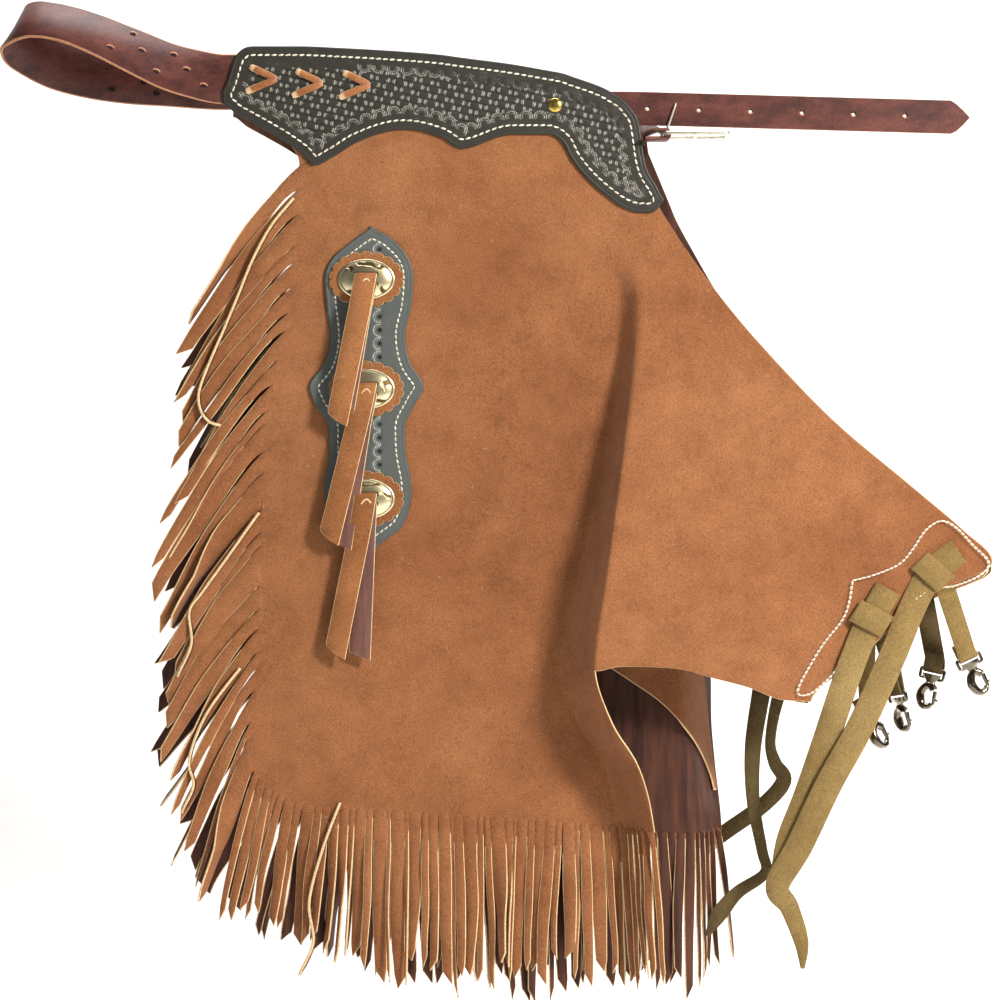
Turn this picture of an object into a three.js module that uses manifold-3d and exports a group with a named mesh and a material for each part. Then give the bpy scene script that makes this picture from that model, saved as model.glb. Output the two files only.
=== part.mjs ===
// A pair of western chink chaps, hung by the waist with the two legs folded face to face.
// Millimetres, +Z up, +X towards the buckle side, the near leg towards -Y.
// The origin is the middle of the waist opening, between the tops of the two yokes.
import * as THREE from "three";
import { mergeVertices } from "three/addons/utils/BufferGeometryUtils.js";
import Module from "manifold-3d";

const wasm = await Module();
wasm.setup();

// Clearance between touching pieces
const gap = 0.35;

// The leg panel: a suede hide cut to hang from the yoke, with a wing that wraps the leg
const legWidth = 717;
const legDrop = 731;
const panelWall = 2.2;
const legSpace = 25;
const crestRise = 66;
const wingRun = 440;
const farShiftX = 7.6;
const farShiftZ = -8.5;

// The fringe, cut as strands along the outer edge and the hem
const strandLength = 161;
const strandWall = 1.8;
const fringeHead = 9;
const fringeGap = 0.9;
const sideStrands = 18;
const hemStrands = 24;
const strandSway = 9;

// The yoke with its laces and rivet
const yokeWidth = 420;
const yokeHeight = 158;
const yokeLeft = -207;
const yokeTop = 13.5;
const yokeWall = 3;
const laceWidth = 5.6;
const laceWall = 1.8;
const laceReach = 27;
const laceSpread = 24;
const rivetHead = 14;
const rivetShank = 3.6;
const rivetDome = 2.6;
const rivetBurr = 1.4;

// The back belt, the billet and the buckle
const beltWidth = 44.5;
const beltWall = 3.5;
const beltReach = 208;
const beltOverlap = 118;
const loopDepth = 36;
const billetWidth = 31.75;
const billetReach = 321;
const billetOverlap = 92;
const holeSpacing = 49;
const holeSize = 5;
const holeCount = 6;
const firstHole = 62;
const billetPoint = 18;
const billetLead = 18;
const billetFall = 9;
const buckleStrapWidth = 26.75;
const buckleStrapWall = 3.2;
const buckleLength = 59;
const buckleWire = 3.6;
const tongueWire = 3;
const tongueReach = 29;
const tongueRest = 71;
const buckleTail = 19;
const buckleDrop = 10;

// The concho plate and what it carries
const plateWidth = 109;
const plateHeight = 309;
const plateWall = 3;
const plateX = -70;
const plateTop = -158;
const rosetteWidth = 72;
const rosetteHeight = 54;
const rosetteWall = 2;
const scallops = 14;
const scallopDepth = 2.4;
const conchoWidth = 54;
const conchoHeight = 38;
const conchoDome = 5;
const slotWidth = 23;
const slotHeight = 3.6;
const slotDrop = 5;
const conchoPitch = 104.3;
const stringWidth = 21;
const stringWall = 1.8;

// The leg straps and snaps
const patchWall = 1.8;
const patchInset = 3;
const strapWidth = 25.4;
const strapWall = 2;
const snapStrapWidth = 19;
const snapStrapWall = 1.6;
const snapWire = 3.2;
const snapWall = 5;
const snapEyeWidth = 21;
const snapEyeHeight = 6;
const snapNeck = 8;
const snapHookWidth = 18;
const snapHookLength = 24;
const gateWidth = 3.4;

// Depths from the middle plane, shared by both legs
const panelOut = legSpace / 2 + panelWall;
const yokeBack = panelOut + gap;
const yokeFront = yokeBack + yokeWall;
const beltBack = panelOut - beltWall;
const plateBack = panelOut + gap;
const plateFront = plateBack + plateWall;
const rosetteBack = plateFront + gap;
const rosetteFront = rosetteBack + rosetteWall;
const conchoBack = rosetteFront + gap;

const leather = (color, roughness = 0.85) => ({ color, roughness, metalness: 0 });
const finishes = {
  suede: leather("#8f5537", 0.95),
  tooled: leather("#2b2926", 0.6),
  latigo: leather("#6a352c", 0.5),
  lace: leather("#b5743c", 0.7),
  strap: leather("#b0914f", 0.8),
  rosette: leather("#7a452c", 0.9),
  brass: { color: "#d8be6a", roughness: 0.3, metalness: 1 },
  concho: { color: "#e2d3a8", roughness: 0.2, metalness: 1 },
  nickel: { color: "#c9c8c4", roughness: 0.2, metalness: 1 },
};

function meshOf(name, geometry, finish) {
  const mesh = new THREE.Mesh(geometry, new THREE.MeshStandardMaterial(finishes[finish]));
  mesh.name = name;
  return mesh;
}

// A value read from a table's column by a smooth curve that never swings past its rows
function readTable(rows, key, column, at) {
  const last = rows.length - 1;
  const i = Math.min(Math.max(rows.findIndex((row) => row[key] > at) - 1, 0), last - 1);
  const start = at >= rows[last][key] ? last - 1 : i;
  const a = rows[start];
  const b = rows[start + 1];
  const share = Math.min(Math.max((at - a[key]) / (b[key] - a[key]), 0), 1);
  const slopeAt = (row) => {
    if (row === 0 || row === last) return 0;
    const before = (rows[row][column] - rows[row - 1][column]) / (rows[row][key] - rows[row - 1][key]);
    const after = (rows[row + 1][column] - rows[row][column]) / (rows[row + 1][key] - rows[row][key]);
    return before * after > 0 ? (before + after) / 2 : 0;
  };
  const span = b[key] - a[key];
  const s2 = share * share;
  const s3 = s2 * share;
  return (
    a[column] * (2 * s3 - 3 * s2 + 1) +
    slopeAt(start) * span * (s3 - 2 * s2 + share) +
    b[column] * (3 * s2 - 2 * s3) +
    slopeAt(start + 1) * span * (s3 - s2)
  );
}

function geometryOf(positions, triangles) {
  const geometry = new THREE.BufferGeometry();
  geometry.setAttribute("position", new THREE.Float32BufferAttribute(positions, 3));
  geometry.setIndex(triangles);
  return geometry;
}

// A leather sheet: a grid of points on its outer face, a mask of the cells that exist, and a wall.
// The inner face is the outer one moved by the wall against the given normals.
function sheetSolid(grid, hasCell, wall, normalOf) {
  const across = grid[0].length;
  const positions = [];
  const inner = [];
  grid.forEach((row, i) =>
    row.forEach((point, j) => {
      const normal = normalOf(i, j);
      positions.push(point.x, point.y, point.z);
      inner.push(point.x - normal.x * wall, point.y - normal.y * wall, point.z - normal.z * wall);
    }),
  );
  const offset = grid.length * across;
  const triangles = [];
  const edges = new Map();
  const addEdge = (p, q) => edges.set(p + "_" + q, [p, q]);
  for (let i = 0; i < grid.length - 1; i++) {
    for (let j = 0; j < across - 1; j++) {
      if (!hasCell(i, j)) continue;
      const a = i * across + j;
      const b = a + 1;
      const d = a + across;
      const c = d + 1;
      triangles.push(a, d, c, a, c, b);
      triangles.push(a + offset, c + offset, d + offset, a + offset, b + offset, c + offset);
      addEdge(a, d);
      addEdge(d, c);
      addEdge(c, b);
      addEdge(b, a);
    }
  }
  for (const [p, q] of edges.values()) {
    if (edges.has(q + "_" + p)) continue;
    triangles.push(q, p, p + offset, q, p + offset, q + offset);
  }
  return geometryOf(positions.concat(inner), triangles);
}

// The outward normal of a grid at each of its points, from the neighbouring points
function gridNormals(grid) {
  const last = grid.length - 1;
  return (i, j) => {
    const row = grid[i];
    const down = new THREE.Vector3().subVectors(grid[Math.min(i + 1, last)][j], grid[Math.max(i - 1, 0)][j]);
    const across = new THREE.Vector3().subVectors(
      row[Math.min(j + 1, row.length - 1)],
      row[Math.max(j - 1, 0)],
    );
    return down.cross(across).normalize();
  };
}

// A flat strap along stations, each with a centre, a width direction, a face normal and a width
function strapSolid(stations, wall) {
  const positions = [];
  const triangles = [];
  for (const { centre, side, normal, width } of stations) {
    for (const [s, n] of [[-1, 1], [1, 1], [1, -1], [-1, -1]]) {
      const corner = centre.clone().addScaledVector(side, (s * width) / 2);
      corner.addScaledVector(normal, (n * wall) / 2);
      positions.push(corner.x, corner.y, corner.z);
    }
  }
  const last = stations.length - 1;
  for (let i = 0; i < last; i++) {
    for (let k = 0; k < 4; k++) {
      const a = i * 4 + k;
      const b = i * 4 + ((k + 1) % 4);
      triangles.push(a, b, a + 4, b, b + 4, a + 4);
    }
  }
  const end = last * 4;
  triangles.push(0, 2, 1, 0, 3, 2, end, end + 1, end + 2, end, end + 2, end + 3);
  const geometry = geometryOf(positions, triangles);
  return solidOf(geometry).volume() < 0 ? reversed(geometry) : geometry;
}

function reversed(geometry) {
  const index = geometry.index.array;
  const turned = [];
  for (let i = 0; i < index.length; i += 3) turned.push(index[i], index[i + 2], index[i + 1]);
  geometry.setIndex(turned);
  return geometry;
}

function solidOf(geometry) {
  const bare = geometry.clone();
  bare.deleteAttribute("normal");
  bare.deleteAttribute("uv");
  const merged = mergeVertices(bare, 1e-4);
  const vertProperties = merged.attributes.position.array;
  const mesh = new wasm.Mesh({ numProp: 3, vertProperties, triVerts: merged.index.array });
  return new wasm.Manifold(mesh);
}

function fromSolid(solid) {
  const { vertProperties, triVerts } = solid.getMesh();
  return geometryOf(Array.from(vertProperties), Array.from(triVerts));
}

// A flat piece cut from a hide or plate: an outline in X and Z, from one depth to another
function flatPiece(outline, holes, back, front) {
  const shape = new THREE.Shape(outline);
  shape.holes = holes.map((hole) => new THREE.Path(hole));
  const depth = front - back;
  const geometry = new THREE.ExtrudeGeometry(shape, { depth, bevelEnabled: false, curveSegments: 4 });
  geometry.rotateX(Math.PI / 2);
  geometry.translate(0, -back, 0);
  return geometry;
}

function circlePath(x, z, radius, sides = 10) {
  const points = [];
  for (let i = 0; i < sides; i++) {
    const turn = (i / sides) * 2 * Math.PI;
    points.push(new THREE.Vector2(x + radius * Math.cos(turn), z + radius * Math.sin(turn)));
  }
  return points;
}

// Sections of the leg panel from the yoke down: the outer edge, the fold's crest and the wing's rim.
// Across and down are shares of legWidth and legDrop from the origin; patch is where the wing's
// reinforcement starts, as a share of the way from crest to rim.
const sections = [
  { leftX: -0.232, leftZ: 0.062, crestX: 0.2, crestZ: 0.09, rimX: 0.259, rimZ: 0.094, patch: 0.8 },
  { leftX: -0.205, leftZ: 0.1, crestX: 0.225, crestZ: 0.12, rimX: 0.266, rimZ: 0.12, patch: 0.8 },
  { leftX: -0.187, leftZ: 0.135, crestX: 0.25, crestZ: 0.175, rimX: 0.283, rimZ: 0.172, patch: 0.8 },
  { leftX: -0.19, leftZ: 0.185, crestX: 0.26, crestZ: 0.215, rimX: 0.304, rimZ: 0.212, patch: 0.8 },
  { leftX: -0.195, leftZ: 0.262, crestX: 0.266, crestZ: 0.315, rimX: 0.366, rimZ: 0.301, patch: 0.8 },
  { leftX: -0.206, leftZ: 0.352, crestX: 0.253, crestZ: 0.4, rimX: 0.43, rimZ: 0.377, patch: 0.8 },
  { leftX: -0.232, leftZ: 0.461, crestX: 0.243, crestZ: 0.495, rimX: 0.519, rimZ: 0.468, patch: 0.84 },
  { leftX: -0.236, leftZ: 0.571, crestX: 0.229, crestZ: 0.6, rimX: 0.616, rimZ: 0.548, patch: 0.88 },
  { leftX: -0.238, leftZ: 0.649, crestX: 0.218, crestZ: 0.675, rimX: 0.693, rimZ: 0.611, patch: 0.9 },
  { leftX: -0.24, leftZ: 0.69, crestX: 0.213, crestZ: 0.714, rimX: 0.732, rimZ: 0.652, patch: 0.66 },
  { leftX: -0.241, leftZ: 0.725, crestX: 0.209, crestZ: 0.743, rimX: 0.645, rimZ: 0.697, patch: 0.73 },
  { leftX: -0.242, leftZ: 0.758, crestX: 0.206, crestZ: 0.77, rimX: 0.566, rimZ: 0.764, patch: 0.81 },
  { leftX: -0.244, leftZ: 0.79, crestX: 0.203, crestZ: 0.79, rimX: 0.488, rimZ: 0.832, patch: 0.92 },
  { leftX: -0.25, leftZ: 0.845, crestX: 0.225, crestZ: 0.857 },
  { leftX: -0.256, leftZ: 0.894, crestX: 0.257, crestZ: 0.908 },
  { leftX: -0.236, leftZ: 0.94, crestX: 0.273, crestZ: 0.952 },
  { leftX: -0.185, leftZ: 0.972, crestX: 0.282, crestZ: 1.0 },
];
const wingSections = sections.filter((section) => "rimX" in section).length;

// The fold down the leg: how far the leather turns out, and the valley and crest on each leg
const folds = [
  { down: 0.0, rise: 0, valley: 0.11, near: 0.2, far: 0.2, flap: 0 },
  { down: 0.215, rise: 0, valley: 0.19, near: 0.25, far: 0.262, flap: 0 },
  { down: 0.31, rise: 0.22, valley: 0.236, near: 0.264, far: 0.29, flap: 0 },
  { down: 0.5, rise: 0.62, valley: 0.222, near: 0.243, far: 0.325, flap: 0 },
  { down: 0.66, rise: 0.92, valley: 0.185, near: 0.22, far: 0.345, flap: 0 },
  { down: 0.79, rise: 1, valley: 0.155, near: 0.203, far: 0.355, flap: 0.12 },
  { down: 0.86, rise: 0.95, valley: 0.18, near: 0.226, far: 0.356, flap: 0.055 },
  { down: 0.91, rise: 0.85, valley: 0.212, near: 0.257, far: 0.36, flap: 0.018 },
  { down: 1.0, rise: 0.6, valley: 0.235, near: 0.282, far: 0.368, flap: 0.006 },
  { down: 1.25, rise: 0.3, valley: 0.26, near: 0.31, far: 0.36, flap: 0 },
];
const foldEase = (share) => share * share * (2.2 - 1.2 * share);

// How far a leg's outer face stands from the middle plane at a place on it
function legOut(leg, x, z) {
  const down = -z / legDrop;
  const across = x / legWidth;
  const crest = readTable(folds, "down", leg, down);
  const valley = readTable(folds, "down", "valley", down) + crest - readTable(folds, "down", "near", down);
  const rise = crestRise * readTable(folds, "down", "rise", down);
  if (across <= valley) return panelOut;
  if (across < crest) return panelOut + rise * foldEase((across - valley) / (crest - valley));
  return panelOut + rise * (1 - ((across - crest) * legWidth) / wingRun);
}

const legPoint = (leg, x, z, lift = 0) => new THREE.Vector3(x, -legOut(leg, x, z) - lift, z);

// Shares of the way across: from the outer edge to the crest, then from the crest to the rim
const bodyShares = [0, 0.3, 0.6, 0.82, 0.9, 0.95, 1];
const wingShares = [0.15, 0.45];
const crestColumn = bodyShares.length - 1;

// One row of the panel's grid; on the far leg the fold lies further across
function panelRow(leg, section) {
  const crestX = leg === "far" ? readTable(folds, "down", "far", section.crestZ) : section.crestX;
  const row = bodyShares.map((share) => {
    const x = THREE.MathUtils.lerp(section.leftX, crestX, share) * legWidth;
    const z = -THREE.MathUtils.lerp(section.leftZ, section.crestZ, share) * legDrop;
    return legPoint(leg, x, z);
  });
  const patchShares = "rimX" in section ? [section.patch, (section.patch + 1) / 2, 1] : [];
  const shares = patchShares.length ? wingShares.concat(patchShares) : [0.25, 0.5, 0.7, 0.85, 1];
  for (const share of shares) {
    if (patchShares.length) {
      const x = THREE.MathUtils.lerp(crestX, section.rimX, share) * legWidth;
      const z = -THREE.MathUtils.lerp(section.crestZ, section.rimZ, share) * legDrop;
      row.push(legPoint(leg, x, z));
    } else {
      row.push(flapPoint(leg, section, crestX, share));
    }
  }
  return row;
}

// Below the wing the far leg's inner edge turns back over itself as a flap
function flapPoint(leg, section, crestX, share) {
  const turned = readTable(folds, "down", "flap", section.crestZ) * share;
  const z = -section.crestZ * legDrop;
  const point = legPoint(leg, crestX * legWidth, z);
  const roll = panelWall * 4 * Math.sin(Math.PI * Math.min(share, 0.5));
  return point.add(new THREE.Vector3(-turned * legWidth, roll, 0));
}

function panelGrid(leg) {
  return sections.map((section) => panelRow(leg, section));
}

function hasPanelCell(leg, i, j) {
  if (j < crestColumn) return true;
  if (i < wingSections - 1) return true;
  return leg === "far" && i >= wingSections && i < sections.length - 2;
}

function legPanel(leg) {
  const grid = panelGrid(leg);
  return sheetSolid(grid, (i, j) => hasPanelCell(leg, i, j), panelWall, gridNormals(grid));
}

// The reinforcement behind the wing's end follows the panel's own grid
function wingPatch(leg) {
  const grid = panelGrid(leg);
  const normals = gridNormals(grid);
  const firstRow = wingSections - 5;
  const firstColumn = crestColumn + wingShares.length + 1;
  const rows = [];
  for (let i = firstRow; i < wingSections; i++) {
    const row = [];
    for (let j = firstColumn; j < grid[0].length; j++) {
      const point = grid[i][j].clone().addScaledVector(normals(i, j), -(panelWall + gap));
      row.push(point);
    }
    const last = row.length - 1;
    const inward = new THREE.Vector3().subVectors(row[last - 1], row[last]).normalize();
    row[last].addScaledVector(inward, patchInset);
    rows.push(row);
  }
  return sheetSolid(rows, () => true, patchWall, (i, j) => normals(i + firstRow, j + firstColumn));
}

// Strands by their place along the outer edge and hem; runs are shares of strandLength
const strandRuns = [
  { along: 0.0, runX: -0.84, runZ: 0.84 },
  { along: 0.14, runX: -0.72, runZ: 1.03 },
  { along: 0.22, runX: -0.68, runZ: 1.06 },
  { along: 0.32, runX: -0.66, runZ: 0.9 },
  { along: 0.42, runX: -0.67, runZ: 0.82 },
  { along: 0.5, runX: -0.5, runZ: 0.9 },
  { along: 0.56, runX: -0.33, runZ: 0.84 },
  { along: 0.62, runX: -0.14, runZ: 0.78 },
  { along: 0.7, runX: -0.04, runZ: 0.95 },
  { along: 0.78, runX: 0.0, runZ: 1.02 },
  { along: 0.88, runX: 0.0, runZ: 0.92 },
  { along: 0.96, runX: 0.02, runZ: 0.95 },
  { along: 1.0, runX: 0.1, runZ: 0.84 },
];
const sideShare = 0.585;

// The cut edge that the fringe hangs from: down the outer edge and along the hem
function fringeEdge(leg) {
  const grid = panelGrid(leg);
  const side = grid.slice(2).map((row) => row[0]);
  const hem = grid[grid.length - 1].slice(1, crestColumn + 1);
  const path = new THREE.CurvePath();
  const points = side.concat(hem);
  points.slice(1).forEach((point, i) => path.add(new THREE.LineCurve3(points[i], point)));
  return path;
}

function fringe(leg, count, from, to) {
  const edge = fringeEdge(leg);
  const steps = [0, 0.06, 0.36, 0.72, 1];
  const rows = [];
  for (let k = 0; k < count; k++) {
    for (const end of [0, 1]) {
      const along = THREE.MathUtils.lerp(from, to, (k + (end ? 0.86 : 0.06)) / count);
      const middle = THREE.MathUtils.lerp(from, to, (k + 0.46) / count);
      rows.push(strandLine(leg, edge, along, middle, end, k, steps));
    }
  }
  const isStrand = (i, j) => j === 0 || i % 2 === 0;
  return reversed(sheetSolid(rows, isStrand, strandWall, () => new THREE.Vector3(0, -1, 0)));
}

// How far behind the outer face a piece starts that lies against the inner face, on a slope too
function behindPanel(leg, point) {
  const slope = legOut(leg, point.x + 1, point.z) - legOut(leg, point.x - 1, point.z);
  return (panelWall + fringeGap) * (1 + Math.abs(slope));
}

// One side of one strand, from the head to the tip, narrowing and swaying as it hangs
function strandLine(leg, edge, along, middle, end, k, steps) {
  const root = edge.getPointAt(along);
  const centre = edge.getPointAt(middle);
  const tangent = edge.getTangentAt(middle);
  const outward = new THREE.Vector3(tangent.z, 0, -tangent.x).normalize();
  const run = new THREE.Vector3(
    readTable(strandRuns, "along", "runX", middle),
    0,
    -readTable(strandRuns, "along", "runZ", middle),
  ).multiplyScalar(strandLength);
  const sway = (((k * 7) % 5) / 4 - 0.5) * strandSway;
  const halfRoot = new THREE.Vector3().subVectors(root, centre);
  return steps.map((step, index) => {
    const point = centre.clone();
    const hang = Math.max(step - steps[1], 0) / (1 - steps[1]);
    const bend = new THREE.Vector3(run.x * Math.pow(hang, 0.8), 0, run.z * Math.pow(hang, 1.15));
    const narrow = index < 2 ? 1 : 1 - 0.72 * Math.pow(hang, 1.5);
    point.addScaledVector(outward, index === 0 ? -fringeHead : fringeGap);
    point.add(bend).addScaledVector(halfRoot, narrow);
    const out = legOut(leg, point.x, index === 0 ? point.z : centre.z);
    point.y = behindPanel(leg, point) - out + sway * hang * hang;
    return point;
  });
}

// The yoke's upper and lower edges, as shares of its height, by shares of its width
const yokeEdges = [
  { across: 0, top: 0.259, bottom: 0.349 },
  { across: 0.03, top: 0.06, bottom: 0.404 },
  { across: 0.08, top: 0, bottom: 0.478 },
  { across: 0.13, top: 0, bottom: 0.555 },
  { across: 0.179, top: 0, bottom: 0.645 },
  { across: 0.208, top: 0.002, bottom: 0.717 },
  { across: 0.253, top: 0.008, bottom: 0.663 },
  { across: 0.305, top: 0.015, bottom: 0.578 },
  { across: 0.41, top: 0.032, bottom: 0.5 },
  { across: 0.495, top: 0.051, bottom: 0.548 },
  { across: 0.541, top: 0.068, bottom: 0.614 },
  { across: 0.658, top: 0.109, bottom: 0.53 },
  { across: 0.733, top: 0.144, bottom: 0.53 },
  { across: 0.771, top: 0.163, bottom: 0.584 },
  { across: 0.79, top: 0.18, bottom: 0.681 },
  { across: 0.885, top: 0.283, bottom: 0.934 },
  { across: 0.925, top: 0.373, bottom: 0.99 },
  { across: 0.945, top: 0.48, bottom: 1 },
  { across: 0.956, top: 0.68, bottom: 1 },
  { across: 0.984, top: 0.843, bottom: 0.985 },
  { across: 1, top: 0.915, bottom: 0.93 },
];

// A closed outline from a table of two edges
function edgedOutline(rows, key, first, second, place) {
  const edge = (column) => rows.map((row) => place(row[key], row[column]));
  return edge(first).concat(edge(second).reverse());
}

const yokeX = (share) => yokeLeft + share * yokeWidth;
const yokeZ = (share) => yokeTop - share * yokeHeight;
const rivetX = yokeX(0.753);
const rivetZ = yokeZ(0.355);
const laces = [{ x: 0.066, z: 0.2 }, { x: 0.169, z: 0.225 }, { x: 0.276, z: 0.235 }];

function yoke() {
  const place = (across, down) => new THREE.Vector2(yokeX(across), yokeZ(down));
  const outline = edgedOutline(yokeEdges, "across", "top", "bottom", place);
  return flatPiece(outline, [circlePath(rivetX, rivetZ, rivetShank / 2 + gap)], yokeBack, yokeFront);
}

// A lace's V on the yoke: two arms that meet at a tip on the right
function yokeLace(x, z) {
  const armX = laceReach;
  const half = laceSpread / 2;
  const across = laceWidth / 2;
  const slant = across * 0.8;
  const outline = [
    [0, half + across], [slant, half + slant + across], [armX + across * 2, 0],
    [slant, -half - slant - across], [0, -half - across], [-slant, -half + across],
    [armX - across * 1.4, 0], [-slant, half - across],
  ].map(([u, v]) => new THREE.Vector2(x + u, z + v));
  return flatPiece(outline, [], yokeFront + gap, yokeFront + gap + laceWall);
}

// The rivet: a domed cap in front, a shank through the leathers and a burr behind
function rivet() {
  const head = rivetHead / 2;
  const shank = rivetShank / 2;
  const back = beltBack - gap;
  const front = yokeFront + gap;
  const profile = [
    [0, back - rivetBurr], [head * 0.7, back - rivetBurr], [head * 0.7, back], [shank, back], [shank, front],
    [head, front], [head * 0.95, front + rivetDome * 0.45], [head * 0.6, front + rivetDome * 0.9],
    [0, front + rivetDome],
  ].map(([radius, along]) => new THREE.Vector2(radius, along));
  const geometry = new THREE.LatheGeometry(profile, 10);
  geometry.rotateX(Math.PI);
  geometry.translate(rivetX, 0, rivetZ);
  return geometry;
}

// The concho plate's two edges, as shares of its width from the middle, by shares of its height
const plateEdges = [
  { down: 0, left: -0.03, right: 0.1 },
  { down: 0.032, left: -0.1, right: 0.226 },
  { down: 0.09, left: -0.28, right: 0.357 },
  { down: 0.16, left: -0.365, right: 0.409 },
  { down: 0.244, left: -0.348, right: 0.391 },
  { down: 0.335, left: -0.322, right: 0.339 },
  { down: 0.42, left: -0.37, right: 0.383 },
  { down: 0.493, left: -0.5, right: 0.5 },
  { down: 0.55, left: -0.445, right: 0.42 },
  { down: 0.62, left: -0.33, right: 0.335 },
  { down: 0.7, left: -0.33, right: 0.345 },
  { down: 0.8, left: -0.37, right: 0.391 },
  { down: 0.86, left: -0.355, right: 0.38 },
  { down: 0.926, left: -0.27, right: 0.304 },
  { down: 1, left: -0.05, right: 0.08 },
];

function conchoPlate() {
  const place = (down, across) =>
    new THREE.Vector2(plateX + across * plateWidth, plateTop - down * plateHeight);
  const outline = edgedOutline(plateEdges, "down", "left", "right", place);
  return flatPiece(outline.reverse(), [], plateBack, plateFront);
}

const conchoZ = (index) => plateTop - 0.163 * plateHeight - index * conchoPitch;

// A scalloped oval of suede under each concho
function rosette(index) {
  const outline = [];
  for (let i = 0; i < scallops; i++) {
    for (const [share, dip] of [[0, 1], [0.3, 0.1], [0.7, 0.1]]) {
      const turn = ((i + share) / scallops) * 2 * Math.PI;
      const x = (rosetteWidth / 2 - dip * scallopDepth) * Math.cos(turn);
      const z = (rosetteHeight / 2 - dip * scallopDepth) * Math.sin(turn);
      outline.push(new THREE.Vector2(plateX + x, conchoZ(index) + z));
    }
  }
  return flatPiece(outline, [], rosetteBack, rosetteFront);
}

function rod(length, diameter, axis) {
  const geometry = new THREE.CylinderGeometry(diameter / 2, diameter / 2, length, 8);
  if (axis === "x") geometry.rotateZ(Math.PI / 2);
  if (axis === "z") geometry.rotateX(Math.PI / 2);
  return geometry;
}

function boxAt(width, depth, height, x, y, z) {
  return new THREE.BoxGeometry(width, depth, height).translate(x, y, z);
}

// An oval dome of metal with two slots, the string running over the bridge between them
function concho(index) {
  const profile = [
    [0, 0], [1, 0], [1, 0.25], [0.9, 0.5], [0.7, 0.75], [0.4, 0.94], [0, 1],
  ].map(([radius, rise]) => new THREE.Vector2(radius, rise * conchoDome));
  const dome = new THREE.LatheGeometry(profile, 16);
  dome.rotateX(Math.PI);
  dome.scale(conchoWidth / 2, 1, conchoHeight / 2);
  dome.translate(plateX, -conchoBack, conchoZ(index));
  let solid = solidOf(dome);
  for (const side of [1, -1]) {
    const z = conchoZ(index) + side * slotDrop;
    const slot = boxAt(slotWidth, conchoDome * 4, slotHeight, plateX, -conchoBack, z);
    solid = solid.subtract(solidOf(slot));
  }
  return fromSolid(solid);
}

// Stations for a strap whose face looks outward, turned about its own line by a named angle
function strapStations(points, width, steps) {
  const curve = new THREE.CatmullRomCurve3(points.map((p) => p.at), false, "centripetal");
  const stations = [];
  const last = points.length - 1;
  for (let i = 0; i <= last * steps; i++) {
    const k = Math.min(Math.floor(i / steps), last - 1);
    const share = i / steps - k;
    const centre = curve.getPoint(i / (last * steps));
    const tangent = curve.getTangent(i / (last * steps));
    const turn = THREE.MathUtils.degToRad(
      THREE.MathUtils.lerp(points[k].turn ?? 0, points[k + 1].turn ?? 0, share),
    );
    const side = new THREE.Vector3(0, 1, 0).cross(tangent).normalize();
    side.applyAxisAngle(tangent, turn);
    const normal = new THREE.Vector3().crossVectors(tangent, side).normalize();
    const scale = THREE.MathUtils.lerp(points[k].width ?? 1, points[k + 1].width ?? 1, share);
    stations.push({ centre, side, normal, width: width * scale });
  }
  return stations;
}

// The strings through the conchos: how far each tail leans and hangs, as shares of conchoPitch
const strings = [
  { leans: -0.268, drops: 1.323, cut: 0.35 },
  { leans: -0.345, drops: 1.4, cut: 0.35 },
  { leans: -0.288, drops: 1.438, cut: 0.35 },
];

// A string comes forward out of the upper slot, turns over the bridge and hangs down
function conchoString(index) {
  const lean = strings[index].leans * conchoPitch;
  const drop = strings[index].drops * conchoPitch;
  const cut = strings[index].cut;
  const z = conchoZ(index) + slotDrop;
  const front = conchoBack + conchoDome + gap + stringWall;
  const inside = rosetteFront + gap;
  const layers = (2 - index) * (stringWall + gap) * 1.6;
  const points = [
    { at: new THREE.Vector3(plateX, -inside, z) },
    { at: new THREE.Vector3(plateX, -(conchoBack + conchoDome), z) },
    { at: new THREE.Vector3(plateX - 1, -front - 2, z - slotDrop) },
    { at: new THREE.Vector3(plateX + lean * 0.2, -front - 1 - layers, z - drop * 0.2) },
    { at: new THREE.Vector3(plateX + lean * 0.6, -front - layers, z - drop * 0.6) },
    { at: new THREE.Vector3(plateX + lean * 0.9, -front - layers, z - drop * 0.9) },
    { at: new THREE.Vector3(plateX + lean, -front - layers, z - drop), width: cut },
  ];
  const stations = points.map((point, i) => {
    const before = points[Math.max(i - 1, 0)].at;
    const after = points[Math.min(i + 1, points.length - 1)].at;
    const tangent = new THREE.Vector3().subVectors(after, before).normalize();
    const side = new THREE.Vector3(1, 0, 0).addScaledVector(tangent, -tangent.x).normalize();
    const normal = new THREE.Vector3().crossVectors(tangent, side).normalize();
    return { centre: point.at, side, normal, width: stringWidth * (point.width ?? 1) };
  });
  return strapSolid(stations, stringWall);
}

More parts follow.
